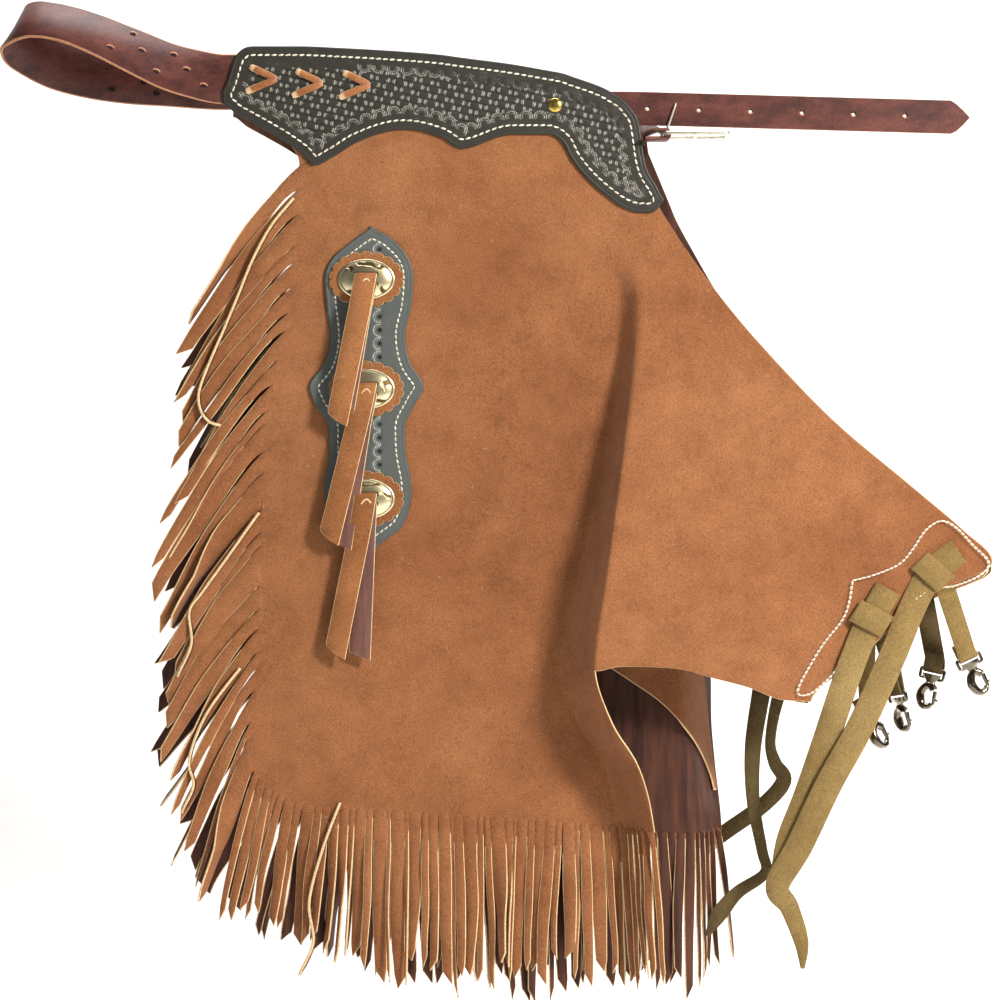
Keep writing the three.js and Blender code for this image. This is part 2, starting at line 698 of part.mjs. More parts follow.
// Routes of the leg straps, as shares of legWidth and legDrop from the origin. Lift is the distance
// off the leg in strap walls; out is the distance from the middle plane as a share of crestRise.
const legStraps = {
  near: [
    [
      { x: 0.59, z: 0.686, lift: 1.5 }, { x: 0.567, z: 0.725, lift: 1.55 },
      { x: 0.552, z: 0.757, lift: 1.9 }, { x: 0.532, z: 0.808, lift: 2.3 },
      { x: 0.508, z: 0.885, out: 0.591 }, { x: 0.484, z: 0.956, out: 0.5 },
      { x: 0.462, z: 1.015, out: 0.424 }, { x: 0.449, z: 1.065, out: 0.379, width: 0.7 },
    ],
    [
      { x: 0.685, z: 0.638, lift: 1.3 }, { x: 0.648, z: 0.667, lift: 1.3 },
      { x: 0.622, z: 0.712, lift: 2 }, { x: 0.594, z: 0.775, out: 0.742 },
      { x: 0.551, z: 0.868, out: 0.697 }, { x: 0.513, z: 0.937, out: 0.636 },
      { x: 0.474, z: 1.02, out: 0.515 }, { x: 0.446, z: 1.072, out: 0.439, width: 0.9 },
      { x: 0.462, z: 1.1, out: 0.409, width: 0.72 }, { x: 0.478, z: 1.145, out: 0.379, width: 0.55 },
      { x: 0.48, z: 1.18, out: 0.364, width: 0.16 },
    ],
  ],
  far: [
    [
      { x: 0.433, z: 0.77, lift: -2.5, width: 0.72 }, { x: 0.42, z: 0.822, out: 0.576, width: 0.7 },
      { x: 0.409, z: 0.89, out: 0.455, width: 0.62 }, { x: 0.409, z: 0.957, out: 0.364, width: 0.5 },
      { x: 0.42, z: 1.02, out: 0.273, width: 0.42 }, { x: 0.424, z: 1.05, out: 0.242, width: 0.42 },
      { x: 0.387, z: 1.076, out: 0.227, width: 0.5 }, { x: 0.362, z: 1.105, out: 0.212, width: 0.6 },
      { x: 0.346, z: 1.133, out: 0.212, width: 0.14 },
    ],
    [
      { x: 0.47, z: 0.77, lift: -2.5, width: 0.72 }, { x: 0.445, z: 0.82, out: 0.621, width: 0.5 },
      { x: 0.434, z: 0.878, out: 0.636, width: 0.4 }, { x: 0.44, z: 0.908, out: 0.636, width: 0.5 },
      { x: 0.452, z: 0.932, out: 0.636, width: 0.6 }, { x: 0.425, z: 0.965, out: 0.727, width: 0.6 },
      { x: 0.372, z: 1.005, out: 0.939, width: 0.6 }, { x: 0.335, z: 1.035, out: 0.97, width: 0.5 },
    ],
  ],
};

function strapPoints(leg, route) {
  return route.map(({ x, z, lift, out, width }) => {
    const at = new THREE.Vector3(x * legWidth, 0, -z * legDrop);
    at.y = -(lift === undefined ? out * crestRise : legOut(leg, at.x, at.z) + lift * strapWall);
    return { at, width };
  });
}

function legStrap(leg, index) {
  return strapSolid(strapStations(strapPoints(leg, legStraps[leg][index]), strapWidth, 2), strapWall);
}

// Each snap: where its strap leaves the wing and clear of it by how many gaps, where its eye hangs,
// its lean and its turn in degrees
const snapHangs = {
  near: [
    { fromX: 0.665, fromZ: 0.675, clear: 2.6, x: 0.7, z: 0.776, out: 0.212, lean: 24, turn: 12 },
    { fromX: 0.562, fromZ: 0.735, clear: 2.6, x: 0.567, z: 0.846, out: 0.258, lean: 26, turn: 35 },
  ],
  far: [
    { fromX: 0.638, fromZ: 0.672, clear: 5, x: 0.648, z: 0.782, out: 0.121, lean: -12, turn: 30 },
    { fromX: 0.582, fromZ: 0.72, clear: 5, x: 0.599, z: 0.812, out: 0.136, lean: 14, turn: 55 },
  ],
};

function snapFrame(hang) {
  const group = new THREE.Group();
  group.position.set(hang.x * legWidth, -hang.out * crestRise, -hang.z * legDrop);
  const { degToRad } = THREE.MathUtils;
  group.rotation.set(0, degToRad(-hang.lean), degToRad(hang.turn), "YZX");
  group.updateMatrixWorld(true);
  return group;
}

// A snap strap comes down from behind the wing, goes round the eye's bar and back up behind itself
function snapStrap(leg, index) {
  const hang = snapHangs[leg][index];
  const frame = snapFrame(hang).matrixWorld;
  const wrap = snapWire / 2 + gap + snapStrapWall / 2;
  const local = (x, y, z) => new THREE.Vector3(x, y, z).applyMatrix4(frame);
  const side = new THREE.Vector3(1, 0, 0).transformDirection(frame);
  const behind = panelWall + patchWall + snapStrapWall / 2 + gap * hang.clear;
  const top = legPoint(leg, hang.fromX * legWidth, -hang.fromZ * legDrop, -behind);
  const faceSide = legPoint(leg, top.x + 1, top.z, -behind).sub(top).normalize();
  const eyeTop = local(0, -wrap, snapEyeHeight);
  const points = [
    { at: top, side: faceSide },
    { at: top.clone().lerp(eyeTop, 0.5), side: faceSide.clone().lerp(side, 0.5) },
    { at: eyeTop, side },
    { at: local(0, -wrap, 0), side },
    { at: local(0, -wrap * 0.7, -wrap * 0.7), side },
    { at: local(0, 0, -wrap), side },
    { at: local(0, wrap * 0.7, -wrap * 0.7), side },
    { at: local(0, wrap, 0), side },
    { at: local(0, wrap + 0.8, snapEyeHeight * 2.4), side },
  ];
  const stations = points.map((point, i) => {
    const before = points[Math.max(i - 1, 0)].at;
    const after = points[Math.min(i + 1, points.length - 1)].at;
    const tangent = new THREE.Vector3().subVectors(after, before).normalize();
    const across = point.side.clone().addScaledVector(tangent, -point.side.dot(tangent)).normalize();
    const normal = new THREE.Vector3().crossVectors(tangent, across).normalize();
    return { centre: point.at, side: across, normal, width: snapStrapWidth };
  });
  return strapSolid(stations, snapStrapWall);
}

// A ring cut from plate in the snap's own plane, centred on a height below the eye's bar
function plateRing(outer, inner, drop) {
  const shape = new THREE.Shape();
  shape.absellipse(0, -drop, outer[0], outer[1], 0, 2 * Math.PI, false, 0);
  const hole = new THREE.Path();
  hole.absellipse(0, -drop, inner[0], inner[1], 0, 2 * Math.PI, true, 0);
  shape.holes.push(hole);
  const settings = { depth: snapWall, bevelEnabled: false, curveSegments: 8 };
  const geometry = new THREE.ExtrudeGeometry(shape, settings);
  return geometry.rotateX(Math.PI / 2).translate(0, snapWall / 2, 0);
}

const eyeDrop = snapEyeHeight + snapWire;
const hookTop = eyeDrop + snapNeck;
const hookDrop = hookTop + snapHookLength / 2 - snapWire;
const pivotX = snapHookWidth / 2 - snapWire * 0.6;
const pivotDrop = hookTop + snapHookLength * 0.2;
const gateDrop = snapHookLength * 0.48;

// The snap's body: a flat eye, a neck and a hook with a mouth on one side
function snapBody() {
  const hookOuter = [snapHookWidth / 2, snapHookLength / 2];
  const hookInner = [hookOuter[0] - snapWire, hookOuter[1] - snapWire];
  let solid = solidOf(plateRing(hookOuter, hookInner, hookDrop));
  const outerWidth = snapEyeWidth + 2 * snapWire;
  const bars = [
    rod(outerWidth, snapWire, "x"),
    rod(outerWidth, snapWire, "x").translate(0, 0, -eyeDrop),
    boxAt(snapWire, snapWire, eyeDrop + snapWire, -(outerWidth - snapWire) / 2, 0, -eyeDrop / 2),
    boxAt(snapWire, snapWire, eyeDrop + snapWire, (outerWidth - snapWire) / 2, 0, -eyeDrop / 2),
    boxAt(snapHookWidth * 0.55, snapWall, snapNeck + snapWire * 2, 0, 0, -(eyeDrop + hookTop) / 2 + 0.4),
  ];
  for (const bar of bars) solid = solid.add(solidOf(bar));
  const mouth = boxAt(
    snapHookWidth / 2, snapWall * 2, gateDrop + 2 * gap, pivotX + snapHookWidth / 4 - gateWidth, 0,
    -(pivotDrop + gateDrop / 2),
  );
  const seat = new THREE.CylinderGeometry(gateWidth / 2 + gap, gateWidth / 2 + gap, snapWall * 2, 16);
  seat.translate(pivotX, 0, -pivotDrop);
  return fromSolid(solid.subtract(solidOf(mouth)).subtract(solidOf(seat)));
}

// The spring gate that closes the hook's mouth, turning about its round upper end
function snapGate() {
  const knuckle = new THREE.CylinderGeometry(gateWidth / 2, gateWidth / 2, snapWall * 0.8, 16);
  const bar = boxAt(gateWidth * 0.8, snapWall * 0.8, gateDrop - gap, 0, 0, -(gateDrop - gap) / 2);
  const trigger = boxAt(gateWidth, snapWall * 0.8, gateWidth * 0.8, gateWidth * 0.7, 0, -gateDrop * 0.6);
  const solid = solidOf(knuckle).add(solidOf(bar)).add(solidOf(trigger));
  return fromSolid(solid).translate(pivotX, 0, -pivotDrop);
}

// One leg with all that it carries, standing out from the middle plane towards -Y
function makeLeg(leg) {
  const group = new THREE.Group();
  const add = (name, geometry, finish) => group.add(meshOf(leg + "_" + name, geometry, finish));
  add("leg_panel", legPanel(leg), "suede");
  add("side_fringe", fringe(leg, sideStrands, 0, sideShare), "suede");
  add("hem_fringe", fringe(leg, hemStrands, sideShare + 0.004, 1), "suede");
  add("yoke", yoke(), "tooled");
  laces.forEach(({ x, z }, i) =>
    add("yoke_lace_" + (i + 1), yokeLace(yokeX(x), yokeZ(z)), "lace"),
  );
  add("rivet", rivet(), "brass");
  add("concho_plate", conchoPlate(), "tooled");
  for (let i = 0; i < 3; i++) {
    add("rosette_" + (i + 1), rosette(i), "rosette");
    add("concho_" + (i + 1), concho(i), "concho");
    add("concho_string_" + (i + 1), conchoString(i), "rosette");
  }
  add("wing_patch", wingPatch(leg), "suede");
  for (let i = 0; i < 2; i++) {
    add("leg_strap_" + (i + 1), legStrap(leg, i), "strap");
    add("snap_strap_" + (i + 1), snapStrap(leg, i), "strap");
    const frame = snapFrame(snapHangs[leg][i]);
    frame.add(meshOf(leg + "_snap_" + (i + 1), snapBody(), "nickel"));
    frame.add(meshOf(leg + "_snap_gate_" + (i + 1), snapGate(), "nickel"));
    group.add(frame);
  }
  return group;
}

// The back belt's loop from the yoke outwards, as shares of beltReach: how high its middle rises in
// shares of beltWidth, its lean in degrees and how far its two runs are spread to the loop's depth
const beltLoop = [
  { reach: -1, rise: -0.42, lean: 0, spread: 0 },
  { reach: 0, rise: -0.42, lean: 0, spread: 0 },
  { reach: 0.15, rise: -0.36, lean: 9, spread: 0.25 },
  { reach: 0.4, rise: -0.15, lean: 20, spread: 0.75 },
  { reach: 0.6, rise: 0.05, lean: 33, spread: 1 },
  { reach: 0.78, rise: 0.24, lean: 44, spread: 1 },
  { reach: 0.92, rise: 0.48, lean: 48, spread: 0.92 },
  { reach: 1, rise: 0.68, lean: 50, spread: 0 },
];
const beltSeat = 0.205;

function backBelt() {
  const reaches = [-1, -0.5, 0, 0.15, 0.3, 0.45, 0.6, 0.72, 0.82, 0.9, 0.96, 0.99, 1];
  const runOut = panelOut - beltWall / 2;
  const stations = [];
  const stationAt = (reach, side) => {
    const spread = readTable(beltLoop, "reach", "spread", reach);
    const bow = reach > 0.8 ? Math.sqrt(Math.max(1 - Math.pow((reach - 0.8) / 0.2, 2), 0)) : spread;
    const depth = reach > 0.8 ? loopDepth * bow : runOut + (loopDepth - runOut) * spread;
    const lean = THREE.MathUtils.degToRad(readTable(beltLoop, "reach", "lean", reach));
    const x = yokeLeft - reach * (reach < 0 ? beltOverlap : beltReach);
    const rise = readTable(beltLoop, "reach", "rise", reach) - beltLoop[0].rise;
    const middle = yokeZ(beltSeat) + rise * beltWidth;
    const local = new THREE.Vector3(0, -side * depth, 0);
    const turn = new THREE.Vector3(1, 0, 0);
    const drop = side < 0 ? farShiftZ * (1 - Math.max(spread, 0)) : 0;
    const centre = local.applyAxisAngle(turn, -lean).add(new THREE.Vector3(x, 0, middle + drop));
    return { centre, lean, x };
  };
  const lines = reaches.map((reach) => stationAt(reach, 1));
  for (const reach of reaches.slice(0, -1).reverse()) lines.push(stationAt(reach, -1));
  lines.forEach(({ centre, lean }, i) => {
    const before = lines[Math.max(i - 1, 0)].centre;
    const after = lines[Math.min(i + 1, lines.length - 1)].centre;
    const tangent = new THREE.Vector3().subVectors(after, before).normalize();
    const up = new THREE.Vector3(0, 0, 1).applyAxisAngle(new THREE.Vector3(1, 0, 0), -lean);
    up.addScaledVector(tangent, -up.dot(tangent)).normalize();
    const normal = new THREE.Vector3().crossVectors(tangent, up).normalize();
    stations.push({ centre, side: up, normal, width: beltWidth });
  });
  return strapSolid(stations, beltWall);
}

// The billet on the near leg: a straight strap with a pointed end and a row of holes
const billetStart = rivetX - billetLead;
const billetEnd = billetStart + billetOverlap + billetReach;
const billetTop = yokeZ(0.27);
function billet() {
  const fall = (x) => (-billetFall * Math.max(x - billetStart - billetOverlap, 0)) / billetReach;
  const shoulder = billetEnd - billetPoint;
  const outline = [
    [billetStart, billetTop], [shoulder, billetTop + fall(shoulder)],
    [billetEnd, billetTop + fall(billetEnd) - billetWidth / 2],
    [shoulder, billetTop + fall(shoulder) - billetWidth],
    [billetStart + billetOverlap, billetTop - billetWidth], [billetStart, billetTop - billetWidth],
  ].map(([x, z]) => new THREE.Vector2(x, z));
  const holes = [circlePath(rivetX, rivetZ, rivetShank / 2 + gap)];
  for (let k = 0; k < holeCount; k++) {
    const x = billetEnd - firstHole - k * holeSpacing;
    holes.push(circlePath(x, billetTop + fall(x) - billetWidth / 2, holeSize / 2, 8));
  }
  return flatPiece(outline, holes, beltBack, panelOut);
}

// The buckle strap leaves the far leg's rivet, comes forward under the billet, turns flat and folds
// round the buckle's bar: its run, its way across and down to the bar, and how flat it lies, as shares
const buckleRoute = [
  { run: 0, across: 0, down: 0, flat: 0 },
  { run: 0.333, across: 0, down: 0, flat: 0 },
  { run: 0.462, across: 0.17, down: 0.07, flat: 0 },
  { run: 0.635, across: 0.3, down: 0.45, flat: 0.1 },
  { run: 0.783, across: 0.4, down: 0.96, flat: 0.3 },
  { run: 0.896, across: 0.72, down: 1, flat: 0.85 },
  { run: 0.965, across: 1, down: 1, flat: 1 },
];
const barX = yokeX(1) + 1;
const barZ = billetTop - billetWidth - buckleDrop;
const buckleY = -(panelOut + gap * 2 + tongueWire / 2);
const barReach = billetWidth / 2 + 2;

function buckleStrap() {
  const { lerp, degToRad } = THREE.MathUtils;
  const wrap = buckleWire / 2 + gap * 1.6 + buckleStrapWall / 2;
  const startY = panelOut - beltWall / 2;
  const startZ = billetTop + farShiftZ - billetWidth / 2;
  const points = buckleRoute.map(({ run, across, down, flat }) => {
    const x = lerp(billetStart + farShiftX, barX, run);
    const z = lerp(startZ, barZ + wrap, down);
    return { at: new THREE.Vector3(x, lerp(startY, buckleY, across), z), flat };
  });
  for (const turn of [90, 45, 0, -45, -90].map(degToRad)) {
    const x = barX + wrap * Math.cos(turn);
    points.push({ at: new THREE.Vector3(x, buckleY, barZ + wrap * Math.sin(turn)), flat: 1 });
  }
  points.push({ at: new THREE.Vector3(barX - buckleTail, buckleY, barZ - wrap), flat: 1 });
  const upright = new THREE.Vector3(0, 0, 1);
  const level = new THREE.Vector3(0, 1, 0);
  const stations = points.map(({ at, flat }, i) => {
    const before = points[Math.max(i - 1, 0)].at;
    const after = points[Math.min(i + 1, points.length - 1)].at;
    const tangent = new THREE.Vector3().subVectors(after, before).normalize();
    const side = upright.clone().lerp(level, flat);
    side.addScaledVector(tangent, -side.dot(tangent)).normalize();
    const normal = new THREE.Vector3().crossVectors(tangent, side).normalize();
    return { centre: at, side, normal, width: buckleStrapWidth };
  });
  const hole = new THREE.CylinderGeometry(rivetShank / 2 + gap, rivetShank / 2 + gap, panelOut * 3, 10);
  hole.translate(rivetX + farShiftX, 0, rivetZ + farShiftZ);
  const slotLength = 2 * (wrap + buckleStrapWall + 4);
  const slot = boxAt(slotLength, tongueWire + 2 * gap + 1, slotLength, barX, buckleY, barZ);
  const strap = solidOf(strapSolid(stations, buckleStrapWall));
  return fromSolid(strap.subtract(solidOf(hole)).subtract(solidOf(slot)));
}

// The buckle's frame lies flat, its bar running in Y through the strap's fold
function buckleFrame() {
  const wire = buckleWire;
  const half = barReach + wire / 2;
  const bars = [
    rod(2 * half + wire, wire, "y"),
    rod(2 * half + wire, wire, "y").translate(buckleLength, 0, 0),
    rod(2 * half + wire, wire, "y").translate(tongueReach, 0, 0),
    boxAt(buckleLength, wire, wire, buckleLength / 2, -half, 0),
    boxAt(buckleLength, wire, wire, buckleLength / 2, half, 0),
  ];
  let solid = solidOf(bars[0]);
  for (const bar of bars.slice(1)) solid = solid.add(solidOf(bar));
  return fromSolid(solid).translate(barX, buckleY, barZ);
}

// The tongue stands up from the bar in front of the billet; it turns about the bar
function buckleTongue() {
  const ring = rod(tongueWire, buckleWire + 2 * (gap + tongueWire * 0.8), "y");
  const bore = rod(tongueWire * 2, buckleWire + 2 * gap, "y");
  const shaft = rod(tongueReach, tongueWire * 0.8, "x");
  shaft.translate(buckleWire / 2 + gap + tongueReach / 2 + tongueWire * 0.3, 0, 0);
  const solid = solidOf(ring).subtract(solidOf(bore)).add(solidOf(shaft));
  const geometry = fromSolid(solid.subtract(solidOf(bore)));
  return geometry.rotateY(THREE.MathUtils.degToRad(-tongueRest)).translate(barX, buckleY, barZ);
}

export const chinks = new THREE.Group();
chinks.add(makeLeg("near"));
const farLeg = makeLeg("far");
farLeg.scale.y = -1;
farLeg.position.set(farShiftX, 0, farShiftZ);
chinks.add(farLeg);
chinks.add(meshOf("back_belt", backBelt(), "latigo"));
chinks.add(meshOf("billet", billet(), "latigo"));
chinks.add(meshOf("buckle_strap", buckleStrap(), "latigo"));
chinks.add(meshOf("buckle_frame", buckleFrame(), "nickel"));
chinks.add(meshOf("buckle_tongue", buckleTongue(), "nickel"));

export default chinks;
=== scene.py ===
# Looks for a pair of fringed leather chinks: suede legs, tooled yokes and plates, conchos, straps and snaps.
# Lengths are metres. Each leg is shaped facing -Y; the far leg is then mirrored and shifted a little.
import bpy
import math
import random
from functools import partial
import numpy as np
from mathutils import Matrix, Vector


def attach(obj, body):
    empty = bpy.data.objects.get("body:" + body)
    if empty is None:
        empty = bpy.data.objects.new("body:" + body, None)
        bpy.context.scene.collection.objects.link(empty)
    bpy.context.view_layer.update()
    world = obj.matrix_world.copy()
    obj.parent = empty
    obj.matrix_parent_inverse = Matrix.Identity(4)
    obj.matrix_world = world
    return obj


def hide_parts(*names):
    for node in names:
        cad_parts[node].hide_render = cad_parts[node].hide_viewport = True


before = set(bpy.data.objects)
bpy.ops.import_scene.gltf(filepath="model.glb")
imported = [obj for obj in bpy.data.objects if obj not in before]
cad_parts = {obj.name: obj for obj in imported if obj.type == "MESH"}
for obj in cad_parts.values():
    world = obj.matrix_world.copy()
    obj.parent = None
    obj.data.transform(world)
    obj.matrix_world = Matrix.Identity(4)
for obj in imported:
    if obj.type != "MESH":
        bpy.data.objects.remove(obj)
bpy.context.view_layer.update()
mm = 0.001
legSides = ("near", "far")
print("frame loaded")

view = {
    "middleX": 0.057, "middleZ": -0.418,  # what the camera looks at
    "across": 0.95,  # the width seen at the near leg
    "distance": 3.2, "legY": -0.02,
}
cameraData = bpy.data.cameras.new("camera")
cameraData.sensor_width = 36
cameraData.lens = cameraData.sensor_width * view["distance"] / view["across"]
camera = bpy.data.objects.new("camera", cameraData)
camera.location = (view["middleX"], view["legY"] - view["distance"], view["middleZ"])
camera.rotation_euler = (math.radians(90), 0, 0)
bpy.context.scene.collection.objects.link(camera)
bpy.context.scene.camera = camera
bpy.context.scene.view_settings.view_transform = "Standard"


def toLinear(hexColor):
    # an sRGB hex value as the linear colour that shaders take
    parts = [int(hexColor[i:i + 2], 16) / 255 for i in (1, 3, 5)]
    return tuple(c / 12.92 if c <= 0.04045 else ((c + 0.055) / 1.055) ** 2.4 for c in parts) + (1,)


def addNode(tree, kind, inputs=None, out=0, stops=None, **settings):
    # one node with its settings, values and links; gives back the socket that is asked for
    node = tree.nodes.new("ShaderNode" + kind)
    for key, value in settings.items():
        setattr(node, key, value)
    for key, value in (inputs or {}).items():
        if isinstance(value, bpy.types.NodeSocket):
            tree.links.new(value, node.inputs[key])
        else:
            node.inputs[key].default_value = value
    for k, (position, color) in enumerate(stops or []):
        elements = node.color_ramp.elements
        element = elements[k] if k < 2 else elements.new(position)
        element.position, element.color = position, toLinear(color)
    return node.outputs[out] if len(node.outputs) else None


def unit(rows):
    # vectors brought to length one
    return rows / np.maximum(np.linalg.norm(rows, axis=-1, keepdims=True), 1e-12)


def runLengths(line):
    # how far along a line each of its points lies
    return np.concatenate([[0], np.cumsum(np.linalg.norm(np.diff(line, axis=0), axis=1))])


def newLook(name):
    material = bpy.data.materials.new(name)
    material.use_nodes = True
    material.node_tree.nodes.clear()
    add = partial(addNode, material.node_tree)
    return material, add, add("TexCoord", out="Object")


def finishLook(add, **inputs):
    # constant values go straight to the shader's own sockets
    surface = {key.replace("_", " "): value for key, value in inputs.items()}
    add("OutputMaterial", {"Surface": add("BsdfPrincipled", surface)})


edgeCream = "#E6C491"  # undyed fibre where a hide is cut


def paleEdge(add, color, edgeColor, full=0.8):
    # the colour of the cut edge, where the piece's own edge mark is high
    edge = add("Attribute", out="Fac", attribute_name="edge")
    edge = add("MapRange", {"Value": edge, "From Min": 0.3, "From Max": full})
    return add("Mix", {0: edge, 6: color, 7: toLinear(edgeColor)}, out=2, data_type="RGBA")


def splitSuede(name, dark, middle, light, edgeColor=edgeCream, sheen=0.06):
    # chrome-tanned split, rough side out and brushed: matt, cloudy, a short nap, pale where it is cut
    material, add, place = newLook(name)
    cloud = add("TexNoise", {"Vector": place, "Scale": 1 / 0.19, "Detail": 3, "Roughness": 0.5})
    blotch = add("TexNoise", {"Vector": place, "Scale": 1 / 0.030, "Detail": 6, "Roughness": 0.7})
    fibre = add("TexNoise", {"Vector": place, "Scale": 1 / 0.0016, "Detail": 3, "Roughness": 0.7})
    fleck = add("TexNoise", {"Vector": place, "Scale": 1 / 0.0034, "Detail": 2})
    color = add("ValToRGB", {"Fac": cloud}, stops=[(0.28, dark), (0.5, middle), (0.72, light)])
    tone = add("ValToRGB", {"Fac": blotch}, stops=[(0.25, "#C4BEBA"), (0.5, "#E8E6E4"), (0.75, "#FFFFFF")])
    color = add("Mix", {0: 0.8, 6: color, 7: tone}, out=2, data_type="RGBA", blend_type="MULTIPLY")
    tone = add("ValToRGB", {"Fac": fibre}, stops=[(0.3, "#8E8783"), (0.58, "#FFFFFF")])
    color = add("Mix", {0: 0.55, 6: color, 7: tone}, out=2, data_type="RGBA", blend_type="MULTIPLY")
    spot = add("MapRange", {"Value": fleck, "From Min": 0.67, "From Max": 0.78, "To Max": 0.28})
    color = add("Mix", {0: spot, 6: color, 7: toLinear("#CDA78C")}, out=2, data_type="RGBA")
    color = paleEdge(add, color, edgeColor)
    lump = add("TexNoise", {"Vector": place, "Scale": 1 / 0.006, "Detail": 3, "Roughness": 0.6})
    nap = add("Math", {0: fibre, 1: lump}, operation="ADD")
    normal = add("Bump", {"Height": nap, "Distance": 0.0007, "Strength": 0.8})
    finishLook(add, Base_Color=color, Normal=normal, Roughness=0.95, Specular_IOR_Level=0.15,
               Sheen_Weight=sheen, Sheen_Roughness=0.5)
    return material


def smoothGrain(name, dark, light, roughness=0.5, edgeColor=edgeCream):
    # the hide's grain side, dyed through: fine pores, faint long streaks, a low sheen
    material, add, place = newLook(name)
    along = add("Mapping", {"Vector": place, "Scale": (1, 1, 0.1)})
    streak = add("TexNoise", {"Vector": along, "Scale": 1 / 0.010, "Detail": 4, "Roughness": 0.65})
    pore = add("TexNoise", {"Vector": place, "Scale": 1 / 0.0011, "Detail": 2})
    color = add("ValToRGB", {"Fac": streak}, stops=[(0.36, dark), (0.66, light)])
    color = paleEdge(add, color, edgeColor)
    normal = add("Bump", {"Height": pore, "Distance": 0.0003, "Strength": 0.5})
    finishLook(add, Base_Color=color, Normal=normal, Roughness=roughness, Specular_IOR_Level=0.2)
    return material


def cutHide(name, dark, light):
    # the bare cut edge of a tanned hide: pale, dry and slightly felted
    material, add, place = newLook(name)
    fibre = add("TexNoise", {"Vector": place, "Scale": 1 / 0.0013, "Detail": 3, "Roughness": 0.7})
    color = add("ValToRGB", {"Fac": fibre}, stops=[(0.3, dark), (0.62, light)])
    normal = add("Bump", {"Height": fibre, "Distance": 0.0003, "Strength": 0.7})
    finishLook(add, Base_Color=color, Normal=normal, Roughness=0.9, Specular_IOR_Level=0.2)
    return material


def stampedLeather(name, deep, face, wearAndHighlight):
    # vegetable-tanned hide, stamped, dyed black and waxed: dark in the stamps, pale grey on what stands up, partly
    # wear and partly painted highlight
    material, add, place = newLook(name)
    relief = add("Attribute", out="Fac", attribute_name="relief")
    wear = add("TexNoise", {"Vector": place, "Scale": 1 / 0.009, "Detail": 4, "Roughness": 0.65})
    level = add("Math", {0: wear, 1: 0.5, 2: relief}, operation="MULTIPLY_ADD")
    color = add("ValToRGB", {"Fac": level}, stops=[(0.25, deep), (1.0, face)])
    slanted = add("Mapping", {"Vector": place, "Rotation": (0, math.radians(-14), 0)})
    tick = add("TexWave", {"Vector": slanted, "Scale": 0.314 / 0.0019, "Distortion": 1.2, "Detail": 1}, out="Fac",
               bands_direction="X")
    tick = add("MapRange", {"Value": tick, "From Min": 0.35, "From Max": 0.65, "To Min": 0.25})
    # painted highlight with some wear: pale grey ticks where the relief stands highest
    high = add("MapRange", {"Value": level, "From Min": 1.3, "From Max": 1.6})
    high = add("Math", {0: high, 1: tick}, operation="MULTIPLY")
    color = add("Mix", {0: high, 6: color, 7: toLinear(wearAndHighlight)}, out=2, data_type="RGBA")
    rough = add("MapRange", {"Value": wear, "From Min": 0.3, "From Max": 0.7, "To Min": 0.36, "To Max": 0.58})
    grain = add("TexNoise", {"Vector": place, "Scale": 1 / 0.0012, "Detail": 3, "Roughness": 0.65})
    normal = add("Bump", {"Height": grain, "Distance": 0.0003, "Strength": 0.5})
    finishLook(add, Base_Color=color, Normal=normal, Roughness=rough, Specular_IOR_Level=0.45)
    return material


def oiledLatigo(name, dark, light, edgeColor, roughness=0.4):
    # latigo, tanned with oils and waxes: deep colour, soft gloss, fine creases, worn paler at its edges
    material, add, place = newLook(name)
    along = add("Mapping", {"Vector": place, "Scale": (0.5, 1, 1)})
    cloud = add("TexNoise", {"Vector": along, "Scale": 1 / 0.018, "Detail": 5, "Roughness": 0.7})
    speck = add("TexNoise", {"Vector": place, "Scale": 1 / 0.0018, "Detail": 3, "Roughness": 0.6})
    color = add("ValToRGB", {"Fac": cloud}, stops=[(0.36, dark), (0.64, light)])
    tone = add("ValToRGB", {"Fac": speck}, stops=[(0.34, "#9C8A84"), (0.56, "#FFFFFF")])
    color = add("Mix", {0: 0.5, 6: color, 7: tone}, out=2, data_type="RGBA", blend_type="MULTIPLY")
    color = paleEdge(add, color, edgeColor, 0.9)
    normal = add("Bump", {"Height": speck, "Distance": 0.0003, "Strength": 0.5})
    finishLook(add, Base_Color=color, Normal=normal, Roughness=roughness, Specular_IOR_Level=0.35, Coat_Weight=0.06,
               Coat_Roughness=0.3)
    return material


def waxedThread(name, dark, light):
    # waxed linen thread: round, twisted and faintly glossy; the twist is drawn coarse enough to show
    material, add, place = newLook(name)
    twist = add("TexWave", {"Vector": place, "Scale": 1 / 0.012, "Distortion": 1.5}, out="Fac",
                bands_direction="DIAGONAL")
    color = add("ValToRGB", {"Fac": twist}, stops=[(0.2, dark), (0.7, light)])
    normal = add("Bump", {"Height": twist, "Distance": 0.0002, "Strength": 0.6})
    finishLook(add, Base_Color=color, Normal=normal, Roughness=0.5)
    return material


